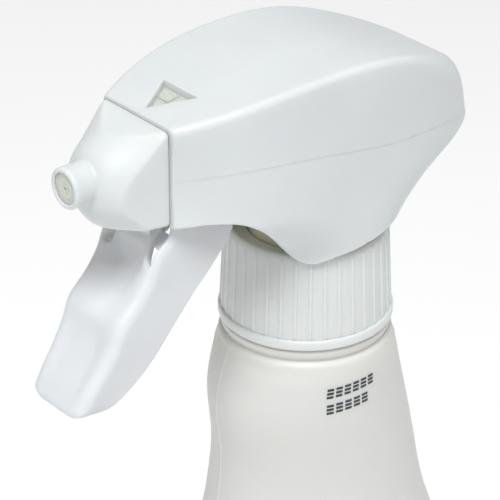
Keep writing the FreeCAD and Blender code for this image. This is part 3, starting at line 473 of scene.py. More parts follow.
SPREAD = [(14.0, 0.0), (17.0, 0.0), (19.5, 0.0), (21.5, 0.06), (23.5, 0.18), (25.5, 0.34), (27.5, 0.53),
          (29.5, 0.75), (31.2, 0.94), (32.2, 1.0), (33.5, 1.01), (36.0, 0.995), (41.0, 0.975),
          (47.0, 0.98), (53.0, 1.0), (62.0, 1.0)]
SPREAD_CURVE = spline(SPREAD)

crest_path = spline(CREST)
CREST_OUTLINE = Outline(np.concatenate([crest_path, [(40.5, 27.0), (40.5, 5.0), (-60.0, 5.0)]]))
arch_path = spline(ARCH_EDGE)
ARCH_OUTLINE = Outline(np.concatenate([[(-60.0, 34.9), (-45.0, 34.9)], arch_path,
                                       [(50.0, 21.9), (50.0, -5.0), (-60.0, -5.0)]]))


def signed_power(value, power):
    """A power that keeps the sign."""
    return np.sign(value) * np.abs(value) ** power


def leaf_width(along):
    """Half width of the shroud's back: widest over the collar, narrower at the seam, round behind."""
    front = np.clip((LEAF_WIDEST - along) / (LEAF_WIDEST + SEAM), 0, None)
    rear = np.clip((along - LEAF_WIDEST) / (LEAF_REAR - LEAF_WIDEST), 0, None)
    ahead = 1 - SEAM_NARROWING * front ** NARROWING_POWER
    behind = signed_power(1 - rear ** 2, TAIL_POWER)
    return LEAF_HALF_WIDTH * np.where(along < LEAF_WIDEST, ahead, behind)


def shroud_width(y, height):
    """Half width of the cover at a height: a circle at the skirt that opens out to the leaf."""
    spread = np.interp(height, SPREAD_CURVE[:, 0], SPREAD_CURVE[:, 1])
    middle = (LEAF_FRONT + LEAF_REAR) / 2
    half = (LEAF_REAR - LEAF_FRONT) / 2
    cosine = (spread * middle - y) / (SKIRT_RADIUS + spread * (half - SKIRT_RADIUS))
    ring = SKIRT_RADIUS * signed_power(1 - cosine ** 2, 0.5)
    return ring * (1 - spread) + leaf_width(middle - half * cosine) * spread


def shroud_outside(x, y, z):
    """The cover as if solid: its two sides under the crest, with a crease that softens to the rear."""
    height = z - BASE
    width = shroud_width(y, height)
    slope = np.hypot((shroud_width(y + SLOPE_STEP, height) - width) / SLOPE_STEP,
                     (shroud_width(y, height + SLOPE_STEP) - width) / SLOPE_STEP)
    side = (np.abs(x) - width) / np.sqrt(1 + slope ** 2)
    crease = CREASE_FRONT + CREASE_GROWTH * ramp(y, *CREASE_GROWS)
    return both(side, CREST_OUTLINE(y, height), crease)


ARROW_APEX = -37.7
ARROW_BASE = -29.9
ARROW_HALF_WIDTH = 4.8
ARROW_FLOOR = 53.25
ARROW_SLOPE = 0.16
ARROW_CUT_TOP = 60.0
PAD_HALF_WIDTH = 6.0
PAD_FRONT = -38.9
PAD_REAR = -28.6
PAD_DEPTH = 1.2
PAD_INSET = 0.3
PAD_FILLET = 0.4


def shroud_field(x, y, z):
    """The cover: a shell with a thick pad under the arrow, cut off at the arch and at the seam."""
    outside = shroud_outside(x, y, z)
    shell = without(outside, outside + SHROUD_WALL)
    pad = np.maximum.reduce([np.abs(x) - PAD_HALF_WIDTH, PAD_FRONT - y, y - PAD_REAR,
                             BASE + ARROW_FLOOR - PAD_DEPTH - z, outside + PAD_INSET])
    shell = either(shell, pad, PAD_FILLET)
    shell = without(shell, ARCH_OUTLINE(y, z - BASE), SHROUD_EDGE)
    return both(shell, -SEAM - y, SHROUD_EDGE)


def arrow_floor(y):
    """Height of the arrow recess's floor, which slopes with the top."""
    return BASE + ARROW_FLOOR + ARROW_SLOPE * (y - ARROW_APEX)


def arrow_cutter():
    """A wedge that cuts the arrow recess in the shroud's top, its floor in line with the top."""
    corners = [(0.0, ARROW_APEX), (ARROW_HALF_WIDTH, ARROW_BASE), (-ARROW_HALF_WIDTH, ARROW_BASE)]
    bottom = [(x, y, arrow_floor(y)) for x, y in corners]
    top = [(x, y, BASE + ARROW_CUT_TOP) for x, y in corners]
    faces = [(2, 1, 0), (3, 4, 5), (0, 1, 4, 3), (1, 2, 5, 4), (2, 0, 3, 5)]
    return new_piece("arrow_cutter", bottom + top, faces, WHITE)


PANEL_GAP = 0.15
PANEL_APEX_GAP = 0.2
PANEL_BASE_GAP = 0.1
PANEL_SPAN = (-0.5, 0.04)
RIDGE_SPAN = (-0.1, 0.07)
SPINE = [(-0.08, -36.4), (0.08, -36.4), (0.08, -30.2), (-0.08, -30.2)]
CROSSBAR = [(-2.65, -33.0), (2.65, -33.0), (2.75, -32.85), (-2.75, -32.85)]


def prism_on_floor(outline, span, vertices, faces):
    """Adds a flat prism that lies on the arrow recess's floor."""
    first = len(vertices)
    count = len(outline)
    for lift in span:
        vertices += [(x, y, arrow_floor(y) + lift) for x, y in outline]
    faces.append([first + k for k in reversed(range(count))])
    faces.append([first + count + k for k in range(count)])
    for k in range(count):
        after = (k + 1) % count
        faces.append([first + k, first + after, first + count + after, first + count + k])


def build_arrow_panel():
    """The thin web at the bottom of the arrow recess, with two fine ridges on it."""
    side = ARROW_HALF_WIDTH - PANEL_GAP
    base = ARROW_BASE - PANEL_BASE_GAP
    corners = [(0.0, ARROW_APEX + PANEL_APEX_GAP), (side, base), (-side, base)]
    vertices, faces = [], []
    prism_on_floor(corners, PANEL_SPAN, vertices, faces)
    prism_on_floor(SPINE, RIDGE_SPAN, vertices, faces)
    prism_on_floor(CROSSBAR, RIDGE_SPAN, vertices, faces)
    # The panel takes the darker, yellower white of painted shade, for the shade inside the arrow recess.
    piece = new_piece("arrow_panel", vertices, faces, PAINTED_SHADE_WHITE, sharp_degrees=30)
    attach(piece, "head")


LIP_OUTSIDE = 0.28
LIP_INSIDE = 1.2
LIP_REAR = -39.2
LIP_FOOT = 35.6
LIP_GAP = 0.03
LIP_HALF_WIDTH = 10.6
LIP_TOP = 55.0
LIP_STEP = 0.2
LIP_MARGIN = 0.4
LIP_FOOT_MARGIN = 1.1


def seam_lip_field(x, y, z):
    """A band just inside the cover's surface, across the seam."""
    outside = shroud_outside(x, y, z)
    band = np.maximum(outside + LIP_OUTSIDE, -(outside + LIP_INSIDE))
    ends = np.maximum(y - LIP_REAR, LIP_GAP - NOZZLE_BACK - y)
    return np.maximum.reduce([band, ends, BASE + LIP_FOOT - z])


def build_seam_lip():
    """The inner lip of the shroud's front rim, which closes the gap behind the nozzle."""
    low = (-LIP_HALF_WIDTH, -NOZZLE_BACK - LIP_MARGIN, BASE + LIP_FOOT - LIP_FOOT_MARGIN)
    high = (LIP_HALF_WIDTH, LIP_REAR + LIP_MARGIN, BASE + LIP_TOP)
    points, quads = skin(seam_lip_field, low, high, LIP_STEP)
    # The lip takes the darker, yellower white of painted shade, for the shade in the gap behind the nozzle.
    piece = new_piece("seam_lip", points, quads, PAINTED_SHADE_WHITE, sharp_degrees=40)
    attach(piece, "head")


PARTING_LINE = [(-39.2, 44.0), (-28.7, 44.0), (-18.4, 43.4), (-7.0, 41.9), (8.2, 39.3), (16.5, 38.2),
                (27.6, 35.9), (34.0, 33.8), (37.2, 32.4), (38.6, 31.9)]
PARTING_SIZE = 0.02
PARTING_ROOT = 0.25
PARTING_FLANK = 0.4


def build_parting_line():
    """The fine ridge the mould leaves along each side of the shroud."""
    path = spline(PARTING_LINE, 10)
    vertices, faces = [], []
    for side in (-1, 1):
        rings = []
        for y, height in path:
            width = float(shroud_width(np.array(y), np.array(height)))
            root = width - PARTING_ROOT
            flank = width + PARTING_FLANK * PARTING_SIZE
            corners = [(root, -PARTING_SIZE), (flank, -PARTING_SIZE), (width + PARTING_SIZE, 0.0),
                       (flank, PARTING_SIZE), (root, PARTING_SIZE)]
            rings.append([(side * x, y, BASE + height + rise) for x, rise in corners[::side]])
        part_vertices, part_faces = surface_of_turn(rings)
        faces += [[len(vertices) + k for k in face] for face in part_faces]
        vertices += part_vertices.tolist()
    piece = new_piece("parting_line", vertices, faces, WHITE, sharp_degrees=80)
    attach(piece, "head")


def carve(piece, cutter):
    """Cuts one piece with another, then drops the cutter."""
    cut = piece.modifiers.new("cut", "BOOLEAN")
    cut.operation = "DIFFERENCE"
    cut.solver = "EXACT"
    cut.object = cutter
    depsgraph = bpy.context.evaluated_depsgraph_get()
    carved = bpy.data.meshes.new_from_object(piece.evaluated_get(depsgraph))
    piece.modifiers.clear()
    piece.data = carved
    bpy.data.objects.remove(cutter)


def build_shroud():
    low = shroud_low - SHROUD_MARGIN
    high = shroud_high + SHROUD_MARGIN
    points, quads = skin(shroud_field, low, high, SHROUD_STEP)
    piece = new_piece("shroud_cover", points, quads, WHITE)
    carve(piece, arrow_cutter())
    finish_mesh(piece.data, WHITE, 38)
    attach(piece, "head")
    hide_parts("shroud")
    build_arrow_panel()
    build_seam_lip()
    build_parting_line()


# Nozzle

HALF_SIDE = (nozzle_high[0] - nozzle_low[0]) / 2 + 0.2
SPOUT_RADIUS = 3.92
DOME = [(36.0, 16.6), (38.5, 15.3), (40.5, 14.0), (42.5, 12.4), (44.5, 10.8), (46.5, 9.4), (48.5, 8.15),
        (50.0, 7.0), (51.3, 5.2), (52.1, 3.0), (52.3, 0.0)]
DOME_DROP = 1.77
DRAFT_FROM = 40.2
TOP_DRAFT = 0.24
SIDE_DRAFT = 0.17
FOOT_DRAFT = 0.04
BLOCK_CORNER = 1.2
DOME_EDGE = 0.25
SPOUT_EDGE = 0.55
SPOUT_FROM = 45.0
SPOUT_FILLET = 0.45
BACK_EDGE = 0.35
NOZZLE_WALL = 1.4
CAVITY_OUTSIDE = 7.4
CAVITY_INSIDE = 4.4
SOCKET_RADIUS = 3.05
SOCKET_END = 49.2
PASSAGE_RADIUS = 1.3
PASSAGE_END = 53.5
SEAT_RADIUS = 2.95
SEAT_FROM = 53.4
HOLLOW_EDGE = 0.15
NOZZLE_STEP = 0.25
NOZZLE_MARGIN = 0.8
dome_path = spline(DOME)
DOME_OUTLINE = Outline(np.concatenate([dome_path, dome_path[::-1] * (1, -1)]))


def nozzle_field(x, y, z):
    """The cap: a square block with drafted faces inside a dome, a round spout, and the bores."""
    reach = -y
    rise = z - BASE - AXIS
    radius = np.hypot(x, rise)
    draft = np.clip(reach - DRAFT_FROM, 0, None)
    upright = np.maximum(rise + TOP_DRAFT * draft, -rise + FOOT_DRAFT * draft) - HALF_SIDE
    block = both(np.abs(x) - HALF_SIDE + SIDE_DRAFT * draft, upright, BLOCK_CORNER)
    block = both(block, DOME_OUTLINE(reach, np.hypot(x, rise + DOME_DROP)), DOME_EDGE)
    spout = both(radius - SPOUT_RADIUS, reach - SPOUT_FRONT, SPOUT_EDGE)
    spout = np.maximum(spout, SPOUT_FROM - reach)
    body = either(block, spout, SPOUT_FILLET)
    body = both(body, NOZZLE_BACK - reach, BACK_EDGE)
    cavity = np.maximum.reduce([block + NOZZLE_WALL, radius - CAVITY_OUTSIDE, CAVITY_INSIDE - radius])
    socket = np.maximum(radius - SOCKET_RADIUS, reach - SOCKET_END)
    passage = np.maximum(radius - PASSAGE_RADIUS, reach - PASSAGE_END)
    seat = np.maximum(radius - SEAT_RADIUS, SEAT_FROM - reach)
    hollow = np.minimum.reduce([cavity, socket, passage, seat])
    return without(body, hollow, HOLLOW_EDGE)


def build_nozzle():
    low = nozzle_low - NOZZLE_MARGIN
    high = nozzle_high + NOZZLE_MARGIN
    points, quads = skin(nozzle_field, low, high, NOZZLE_STEP)
    piece = new_piece("nozzle_block", points, quads, WHITE_NOZZLE, sharp_degrees=50)
    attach(piece, "nozzle")
    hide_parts("nozzle_cap")
    build_orifice_insert()


HOLE_RADIUS = 0.3
CUP_BACK = 54.2
CUP_BORE = 1.3
CUP_RADIUS = 2.9
CUP_EDGE = 0.14
RING_FOOT = SPOUT_FRONT - 0.28
RING_TOP = SPOUT_FRONT - 0.2
HOLE_FACE = SPOUT_FRONT - 0.27
CUP_PROFILE = [(HOLE_RADIUS, CUP_BACK), (CUP_BORE, CUP_BACK), (CUP_BORE, SEAT_FROM), (CUP_RADIUS, SEAT_FROM),
               (CUP_RADIUS, RING_FOOT), (2.0, RING_FOOT), (1.85, RING_TOP), (1.35, RING_TOP),
               (1.2, HOLE_FACE), (HOLE_RADIUS, HOLE_FACE)]


def build_orifice_insert():
    """The cup pressed in the spout, with a fine ring round its spray hole."""
    profile = rounded(CUP_PROFILE, CUP_EDGE, 4, closed=True)
    vertices, faces = turned_on_spray_axis(profile)
    # The insert takes the same darker, yellower white of painted shade, for its shallow recess in the spout.
    cup = new_piece("orifice_insert", vertices, faces, PAINTED_SHADE_WHITE, sharp_degrees=60)
    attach(cup, "nozzle")
    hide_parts("orifice_cup")


# Trigger

PIVOT_Y = -33.0
EAR_RADIUS = 3.7
TRIGGER_HALF_WIDTH = trigger_high[0]
TRIGGER_WALL = 1.5
TRIGGER_WIDER = 0.25
TIP_TAPER = 1.2
TAPER_HEIGHTS = (-3.0, 17.0)
SIDE_EDGE = 1.9
SIDE_EDGE_LOW = 1.1
SIDE_EDGE_HEIGHTS = (8.0, 24.0)
LEAN = 0.5
LEAN_HEIGHTS = (12.0, 26.0)
FACE_EDGE = 0.9
FACE_EDGE_LOW = 1.3
FACE_EDGE_HEIGHTS = (14.0, 20.0)
FACE_STEP = 0.1
TRIGGER_FRONT = [(-39.1, 36.5), (-39.3, 32.4), (-41.1, 30.9), (-42.7, 29.0), (-43.7, 26.5), (-45.3, 23.7),
                 (-47.5, 21.1), (-50.0, 18.8), (-51.3, 17.0), (-52.4, 14.7), (-54.0, 12.0), (-55.9, 9.3),
                 (-57.9, 6.7), (-59.5, 4.2), (-60.1, 2.6), (-59.5, 1.3), (-57.4, 0.7), (-54.5, 0.4)]
TRIGGER_REAR = [(-57.5, 0.2), (-55.4, 0.6), (-53.2, 1.25), (-50.5, 2.6), (-46.7, 5.2), (-42.7, 9.2),
                (-38.7, 14.2), (-33.3, 20.1), (-27.3, 26.2), (-24.8, 29.7)]
trigger_front_path = spline(TRIGGER_FRONT)
trigger_rear_path = spline(TRIGGER_REAR)
FRONT_OUTLINE = Outline(np.concatenate([trigger_front_path, [(-50.0, -0.6), (-30.0, -14.0), (0.0, -14.0),
                                                             (0.0, 60.0), (-39.1, 60.0)]]))
REAR_OUTLINE = Outline(np.concatenate([[(-75.0, -12.0), (-61.0, -0.6)], trigger_rear_path,
                                       [(-24.8, 33.0), (-29.6, 42.2), (-29.3, 60.0), (-75.0, 60.0)]]))


# The middle of the trigger's face, as (height, y): finger rest, crest, hollow and panel.
FACE_MIDDLE = [(-2.0, -62.8), (2.0, -61.2), (4.5, -59.0), (7.5, -56.2), (10.5, -54.0), (13.5, -52.3),
               (16.0, -51.4), (17.3, -50.8), (18.5, -49.4), (19.5, -47.8), (20.8, -45.9), (22.7, -44.0),
               (25.5, -42.4), (32.0, -41.3), (40.0, -41.3)]
# How wide the middle is flat, as (height, half width).
FACE_FLAT = [(0.0, 3.2), (12.0, 2.8), (17.0, 1.0), (19.5, 0.2), (24.0, 1.2), (31.0, 4.4), (40.0, 5.0)]
FACE_HALF_WIDTH = 7.9
RIDGE_SETBACK = 0.6
face_middle_path = spline(FACE_MIDDLE)


def trigger_face(x, height):
    """How far forward the trigger's face stands: hollow in the middle, up to the ridges at the sides."""
    ridge = np.interp(height, trigger_front_path[::-1, 1], trigger_front_path[::-1, 0])
    middle = np.interp(height, face_middle_path[:, 0], face_middle_path[:, 1])
    flat = np.interp(height, *np.transpose(FACE_FLAT))
    share = ramp(np.abs(x), flat, FACE_HALF_WIDTH)
    return middle + (ridge - RIDGE_SETBACK - middle) * share


def trigger_outside(x, y, height):
    """The lever as if solid: side outline, width tapered towards the tip, soft front edges, hollows."""
    across = np.abs(x)
    width = TRIGGER_HALF_WIDTH + TRIGGER_WIDER - TIP_TAPER * (1 - ramp(height, *TAPER_HEIGHTS))
    side_edge = SIDE_EDGE + SIDE_EDGE_LOW * (1 - ramp(height, *SIDE_EDGE_HEIGHTS))
    lean = LEAN * (1 - ramp(height, *LEAN_HEIGHTS))
    body = both(FRONT_OUTLINE(y + lean, height), across - width, side_edge)
    face = trigger_face(x, height)
    slope = np.hypot((trigger_face(x, height + FACE_STEP) - face) / FACE_STEP,
                     (trigger_face(across + FACE_STEP, height) - face) / FACE_STEP)
    face_edge = FACE_EDGE + FACE_EDGE_LOW * (1 - ramp(height, *FACE_EDGE_HEIGHTS))
    return both(body, (face - y) / np.sqrt(1 + slope ** 2), face_edge)


PUSHER_Y = -38.2
PUSHER_HEIGHT = 32.5
PUSHER_RADIUS = 1.2
PUSHER_HALF_WIDTH = 4.0
PUSHER_FRONT = -40.6
THROAT_FOOT = 36.5
SLOT_MIDDLE = 6.1
SLOT_HALF_WIDTH = 1.15
SLOT_HEIGHT = 31.3
SLOT_HALF_LENGTH = 4.3
SLOT_CORNER = 1.0
SLOT_REAR = -37.5
SLOT_EDGE = 0.5
WEB_MIDDLE = 6.2
WEB_HALF_WIDTH = 2.2
WEB_DEPTH = 1.9
WEB_HALF_THICKNESS = 0.6
WEB_REAR = -37.8
WEB_HEIGHT = 32.5
WEB_HALF_LENGTH = 3.0
CHANNEL_EDGE = 0.25
EAR_EDGE = 0.2
HOLE_EDGE = 0.1
PIVOT_HOLE = 1.86
LEVER_FILLET = 0.3
REAR_EDGE = 0.35
TRIGGER_STEP = 0.36
TRIGGER_MARGIN = 1.2


def add_pusher(lever, x, y, height):
    """The round bar behind the panel that pushes the plunger, and the piece that joins it to the panel."""
    pusher = np.maximum(np.hypot(y - PUSHER_Y, height - PUSHER_HEIGHT) - PUSHER_RADIUS,
                        np.abs(x) - PUSHER_HALF_WIDTH)
    joint = np.maximum.reduce([np.abs(x) - PUSHER_HALF_WIDTH, np.abs(height - PUSHER_HEIGHT) - PUSHER_RADIUS,
                               y - PUSHER_Y, PUSHER_FRONT - y])
    return either(lever, np.minimum(pusher, joint), LEVER_FILLET)


def cut_slots(lever, outside, x, y, height):
    """The two slots beside the upper panel, each with a web behind its upper part."""
    slot = both(np.abs(np.abs(x) - SLOT_MIDDLE) - SLOT_HALF_WIDTH,
                np.abs(height - SLOT_HEIGHT) - SLOT_HALF_LENGTH, SLOT_CORNER)
    lever = without(lever, np.maximum(slot, y - SLOT_REAR), SLOT_EDGE)
    web = np.maximum.reduce([np.abs(np.abs(x) - WEB_MIDDLE) - WEB_HALF_WIDTH,
                             np.abs(outside + WEB_DEPTH) - WEB_HALF_THICKNESS, y - WEB_REAR])
    web = both(web, np.abs(height - WEB_HEIGHT) - WEB_HALF_LENGTH, LEVER_FILLET)
    return either(lever, web, LEVER_FILLET)


def trigger_field(x, y, z):
    """The lever: a channel open to the rear, with its pusher bar, slots, two ears and pivot holes."""
    height = z - BASE
    outside = trigger_outside(x, y, height)
    lever = without(outside, outside + TRIGGER_WALL, CHANNEL_EDGE)
    lever = add_pusher(lever, x, y, height)
    lever = both(lever, REAR_OUTLINE(y, height), REAR_EDGE)
    throat = np.maximum(np.abs(x) - TRIGGER_HALF_WIDTH + TRIGGER_WALL, THROAT_FOOT - height)
    lever = without(lever, throat, LEVER_FILLET)
    lever = cut_slots(lever, outside, x, y, height)
    from_pivot = np.hypot(y - PIVOT_Y, height - AXIS)
    lever = np.where(height > AXIS, both(lever, from_pivot - EAR_RADIUS, EAR_EDGE), lever)
    return without(lever, from_pivot - PIVOT_HOLE, HOLE_EDGE)


def build_trigger():
    low = trigger_low - TRIGGER_MARGIN
    high = trigger_high + TRIGGER_MARGIN
    points, quads = skin(trigger_field, low, high, TRIGGER_STEP)
    piece = new_piece("trigger_lever_skin", points, quads, WHITE_TRIGGER, sharp_degrees=50)
    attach(piece, "trigger_lever")
    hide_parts("trigger")


# Screw collar

RIB_COUNT = 36
RIB_HEIGHT = 0.30
RIB_PHASE = 0.041
RIB_HALF_WIDTH = 0.34
RIB_STEPS = (-1.0, -0.8, -0.55, -0.28, 0.0, 0.28, 0.55, 0.8, 1.0)
FLAT_STEPS = 4
COLLAR_OUTSIDE = [(14.1, 0.0), (16.6, 0.0), (17.0, 0.35), (17.0, 1.55), (16.86, 2.07), (16.42, 2.12)]
COLLAR_WALL_TOP = (15.62, 18.7)
COLLAR_RIM = [(15.42, 19.35), (15.1, 19.77), (14.55, 19.77), (14.4, 19.5), (14.4, 19.05), (11.6, 19.0),
              (11.6, 17.9), (14.1, 17.9)]
COLLAR_EDGE = 0.3
WALL_SHARES = (0.015, 0.04, 0.25, 0.5, 0.75, 0.93, 0.965, 0.985, 1.0)
RIB_FADE = (0.6, 1.0, 1.0, 1.0, 1.0, 1.0, 0.85, 0.5, 0.0)


def rib_angles():
    """Angles round the collar, close together over each rib, and how far the rib rises at each."""
    pitch = 2 * math.pi / RIB_COUNT
    half = RIB_HALF_WIDTH / collar_high[0]
    angles = []
    rise = []
    for rib in range(RIB_COUNT):
        for step in RIB_STEPS:
            angles.append(RIB_PHASE + rib * pitch + step * half)
            rise.append(math.sqrt(1 - step * step) if abs(step) < 1 else 0.0)
        for step in range(1, FLAT_STEPS):
            angles.append(RIB_PHASE + rib * pitch + half + (pitch - 2 * half) * step / FLAT_STEPS)
            rise.append(0.0)
    return np.array(angles), np.array(rise)


def collar_outline():
    """The collar's closed section, as (radius, height, share of the ribs' height)."""
    foot = np.array(COLLAR_OUTSIDE[-1])
    top = np.array(COLLAR_WALL_TOP)
    below = rounded(COLLAR_OUTSIDE, COLLAR_EDGE, 3)
    wall = [foot + (top - foot) * share for share in WALL_SHARES]
    above = rounded([COLLAR_WALL_TOP] + COLLAR_RIM, COLLAR_EDGE, 3)[1:]
    outline = [(radius, height, 0.0) for radius, height in below]
    outline += [(radius, height, share) for (radius, height), share in zip(wall, RIB_FADE)]
    outline += [(radius, height, 0.0) for radius, height in above]
    return outline


def build_collar():
    angles, rise = rib_angles()
    rings = []
    for radius, height, share in collar_outline():
        reach = radius + RIB_HEIGHT * rise * share
        rings.append(np.stack([reach * np.cos(angles), reach * np.sin(angles),
                               np.full(len(angles), BASE + height)], 1))
    rings.append(rings[0])
    vertices, faces = surface_of_turn(rings, closed_ends=False)
    piece = new_piece("collar_ribbed", vertices, faces, WHITE_COLLAR, sharp_degrees=50)
    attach(piece, "screw_collar")
    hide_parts("collar")


# Bottle

BOTTLE_WALL = 1.2
SEAM_RISE = 0.24
SEAM_RISE_HEIGHTS = (1.0, 6.0)
SEAM_ON_NECK = 0.6
SEAM_TURN = -0.17
SEAM_HALF_WIDTH = 0.45
SEAM_RADIUS = 20.0
SEAM_STEPS = np.array([-1.0, -0.6, -0.25, 0.25, 0.6, 1.0])
AROUND_BOTTLE = 144
# Height, then reach to the front, to the rear and to each side.
BOTTLE_STATIONS = [
    (0.0, 32.0, 36.0, 25.0), (1.5, 34.1, 38.1, 27.1), (5.0, 35.7, 39.7, 28.7), (10.0, 36.0, 40.0, 29.0),
    (45.0, 37.2, 41.0, 29.5), (80.0, 36.2, 40.4, 28.8), (100.0, 30.4, 35.4, 25.6),
    (114.0, 24.4, 30.2, 22.2), (126.0, 20.4, 26.0, 20.0), (140.0, 19.1, 23.2, 18.3),
    (152.5, 20.2, 20.3, 17.6), (164.0, 17.3, 17.3, 17.1)]
# Under the bottle: how far each ring is set in, and its height.
UNDERSIDE = ((24.0, 2.6), (16.0, 2.6), (9.0, 2.3), (5.0, 1.2), (3.0, 0.25), (1.6, 0.0))
LOW_LEVELS = [0.35, 0.9, 1.5, 2.4, 3.6, 5.0, 7.2]
SHOULDER = spline([(17.1, 163.2), (16.95, 164.1), (16.7, 164.7), (16.35, 165.0), (16.1, 165.15)], 4)[1:]
GROOVE = [(16.0, 165.25), (15.95, 165.4), (15.95, 165.6), (16.05, 165.8)]
BEAD = spline([(16.05, 165.8), (16.35, 166.15), (16.55, 166.8), (16.55, 167.3), (16.3, BASE - 0.3),
               (15.6, BASE - 0.15)], 4)[1:]
NECK = [(13.2, BASE - 0.15), (12.75, BASE), (12.6, BASE + 0.4), (12.6, NECK_TOP - 0.5),
        (12.45, NECK_TOP - 0.12), (12.1, NECK_TOP), (11.1, NECK_TOP), (10.8, NECK_TOP - 0.15),
        (10.7, NECK_TOP - 0.5), (10.7, 166.5), (11.5, 163.5)]
NECK_FROM = 14.5
INNER_LEVELS = np.concatenate([[160.0], np.arange(154.0, 8.0, -7.0), [5.0]])
INNER_FLOOR = ((4.0, 3.9), (12.0, 4.2))
FOOT_LEVEL = 1.5


def eased(height, column):
    """A value between the listed stations, by a cubic that never overshoots them."""
    heights = np.array([station[0] for station in BOTTLE_STATIONS])
    values = np.array([station[column] for station in BOTTLE_STATIONS])
    slopes = np.diff(values) / np.diff(heights)
    before, after = slopes[:-1], slopes[1:]
    both_ways = np.where(before + after == 0, 1, before + after)
    inner = np.where(before * after > 0, 2 * before * after / both_ways, 0)
    tangents = np.concatenate([slopes[:1], inner, slopes[-1:]])
    i = np.clip(np.searchsorted(heights, height, side="right") - 1, 0, len(slopes) - 1)
    span = heights[i + 1] - heights[i]
    share = (height - heights[i]) / span
    start = (1 + 2 * share) * (1 - share) ** 2 * values[i] + share * (1 - share) ** 2 * span * tangents[i]
    end = share ** 2 * (3 - 2 * share) * values[i + 1] - share ** 2 * (1 - share) * span * tangents[i + 1]
    return start + end


def bottle_ring(angles, height, inset=0.0, level=None):
    """One level of the body: an ellipse, round at the shoulder."""
    front, rear, half = (eased(height, column) - inset for column in (1, 2, 3))
    middle = (rear - front) / 2
    depth = (rear + front) / 2
    x = half * np.cos(angles)
    y = middle + depth * np.sin(angles)
    return np.stack([x, y, np.full(len(angles), height if level is None else level)], 1)


def bottle_angles():
    """Angles round the bottle, close together at the two mould seams, and how far the seams rise."""
    angles = np.linspace(0, 2 * math.pi, AROUND_BOTTLE, endpoint=False)
    spread = SEAM_HALF_WIDTH / SEAM_RADIUS
    extra = [turn + SEAM_TURN + SEAM_STEPS * spread for turn in (math.pi / 2, 3 * math.pi / 2)]
    angles = np.sort(np.concatenate([angles] + extra))
    off_seam = np.abs(np.cos(angles - SEAM_TURN)) / spread
    return angles, np.clip(1 - off_seam, 0, 1) ** 0.7


def outer_rings(angles, seam, outward):
    """Rings from the middle of the underside up to the shoulder."""
    rings = [bottle_ring(angles, 0.0, inset) + (0, 0, height) for inset, height in UNDERSIDE]
    for height in np.concatenate([LOW_LEVELS, np.arange(10.0, 163.0, 2.2)]):
        rise = SEAM_RISE * seam * ramp(height, *SEAM_RISE_HEIGHTS)
        rings.append(bottle_ring(angles, height) + outward * rise[:, None])
    return rings


def neck_rings(angles, seam, outward):
    """Round rings over the shoulder, groove, bead and neck, and down inside the neck."""
    rings = []
    for radius, height in [*map(tuple, SHOULDER), *GROOVE, *map(tuple, BEAD), *NECK]:
        ring = np.stack([radius * np.cos(angles), radius * np.sin(angles), np.full(len(angles), height)], 1)
        rise = SEAM_ON_NECK * SEAM_RISE * seam if radius > NECK_FROM else 0.0 * seam
        rings.append(ring + outward * rise[:, None])
    return rings


def build_bottle():
    angles, seam = bottle_angles()
    outward = np.stack([np.cos(angles), np.sin(angles), np.zeros(len(angles))], 1)
    rings = outer_rings(angles, seam, outward) + neck_rings(angles, seam, outward)
    for height in INNER_LEVELS:
        rings.append(bottle_ring(angles, height, BOTTLE_WALL))
    for inset, level in INNER_FLOOR:
        rings.append(bottle_ring(angles, FOOT_LEVEL, inset, level))
    vertices, faces = surface_of_turn(rings)
    piece = new_piece("bottle_body", vertices, faces, IVORY, sharp_degrees=60)
    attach(piece, "bottle")
    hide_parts("bottle")
    build_thread()


THREAD_PITCH = 4.233
THREAD_TURNS = 1.5
THREAD_ROOT = 12.6
THREAD_START = 5.2
THREAD_SECTION = [(-0.3, -1.1), (1.15, -0.45), (1.2, 0.0), (1.15, 0.45), (-0.3, 1.1)]
THREAD_STEPS = 150
THREAD_LEAST = 0.04
THREAD_RUN_OUT = 12


def build_thread():
    """The neck's thread: one ridge up a helix, run out to nothing at both ends."""
    rings = []
    for share in np.linspace(0, 1, THREAD_STEPS):
        turn = 2 * math.pi * THREAD_TURNS * share
        full = min(1.0, share * THREAD_RUN_OUT, (1 - share) * THREAD_RUN_OUT)
        size = full * (1 - THREAD_LEAST) + THREAD_LEAST
        centre = BASE + THREAD_START + THREAD_PITCH * THREAD_TURNS * share
        ring = []
        for out, up in THREAD_SECTION:
            radius = THREAD_ROOT + out * size
            ring.append((radius * math.cos(turn), radius * math.sin(turn), centre + up * size))
        rings.append(ring)
    vertices, faces = surface_of_turn(rings)
    piece = new_piece("neck_thread", vertices, faces, IVORY, sharp_degrees=60)
    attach(piece, "bottle")


# Rows of printed bars: middle height, number of groups, angles where the row starts and ends.
MARK_ROWS = ((159.0, 6, -0.43, 0.16), (155.6, 5, -0.42, 0.08))
MARK_HEIGHT = 2.3
MARK_BAR = 0.5
MARK_SPAN = (-0.02, 0.03)
MARK_FILL = 0.74
MARK_TILT = 0.9
MARK_COLUMNS = 5


def bottle_surface(angle, height, lift):
    """A place on the bottle's surface, lifted off it a little."""
    place = bottle_ring(np.array([angle]), height)
    return place[0] + lift * np.array([math.cos(angle), math.sin(angle), 0.0])


def add_bar(left, right, low, vertices, faces):
    """Adds one thin printed bar, bent to the bottle's surface."""
    first = len(vertices)
    columns = MARK_COLUMNS
    for lift in MARK_SPAN:
        for height in (low, low + MARK_BAR):
            for share in np.linspace(0, 1, columns):
                vertices.append(bottle_surface(left + (right - left) * share, height, lift))
    for side in (0, 1):
        row = first + side * 2 * columns
        for k in range(columns - 1):
            quad = [row + k, row + k + 1, row + columns + k + 1, row + columns + k]
            faces.append(quad if side else quad[::-1])
    loop = [first + k for k in range(columns)]
    loop += [first + columns + k for k in reversed(range(columns))]
    for a, b in zip(loop, loop[1:] + loop[:1]):
        faces.append([a, b, b + 2 * columns, a + 2 * columns])


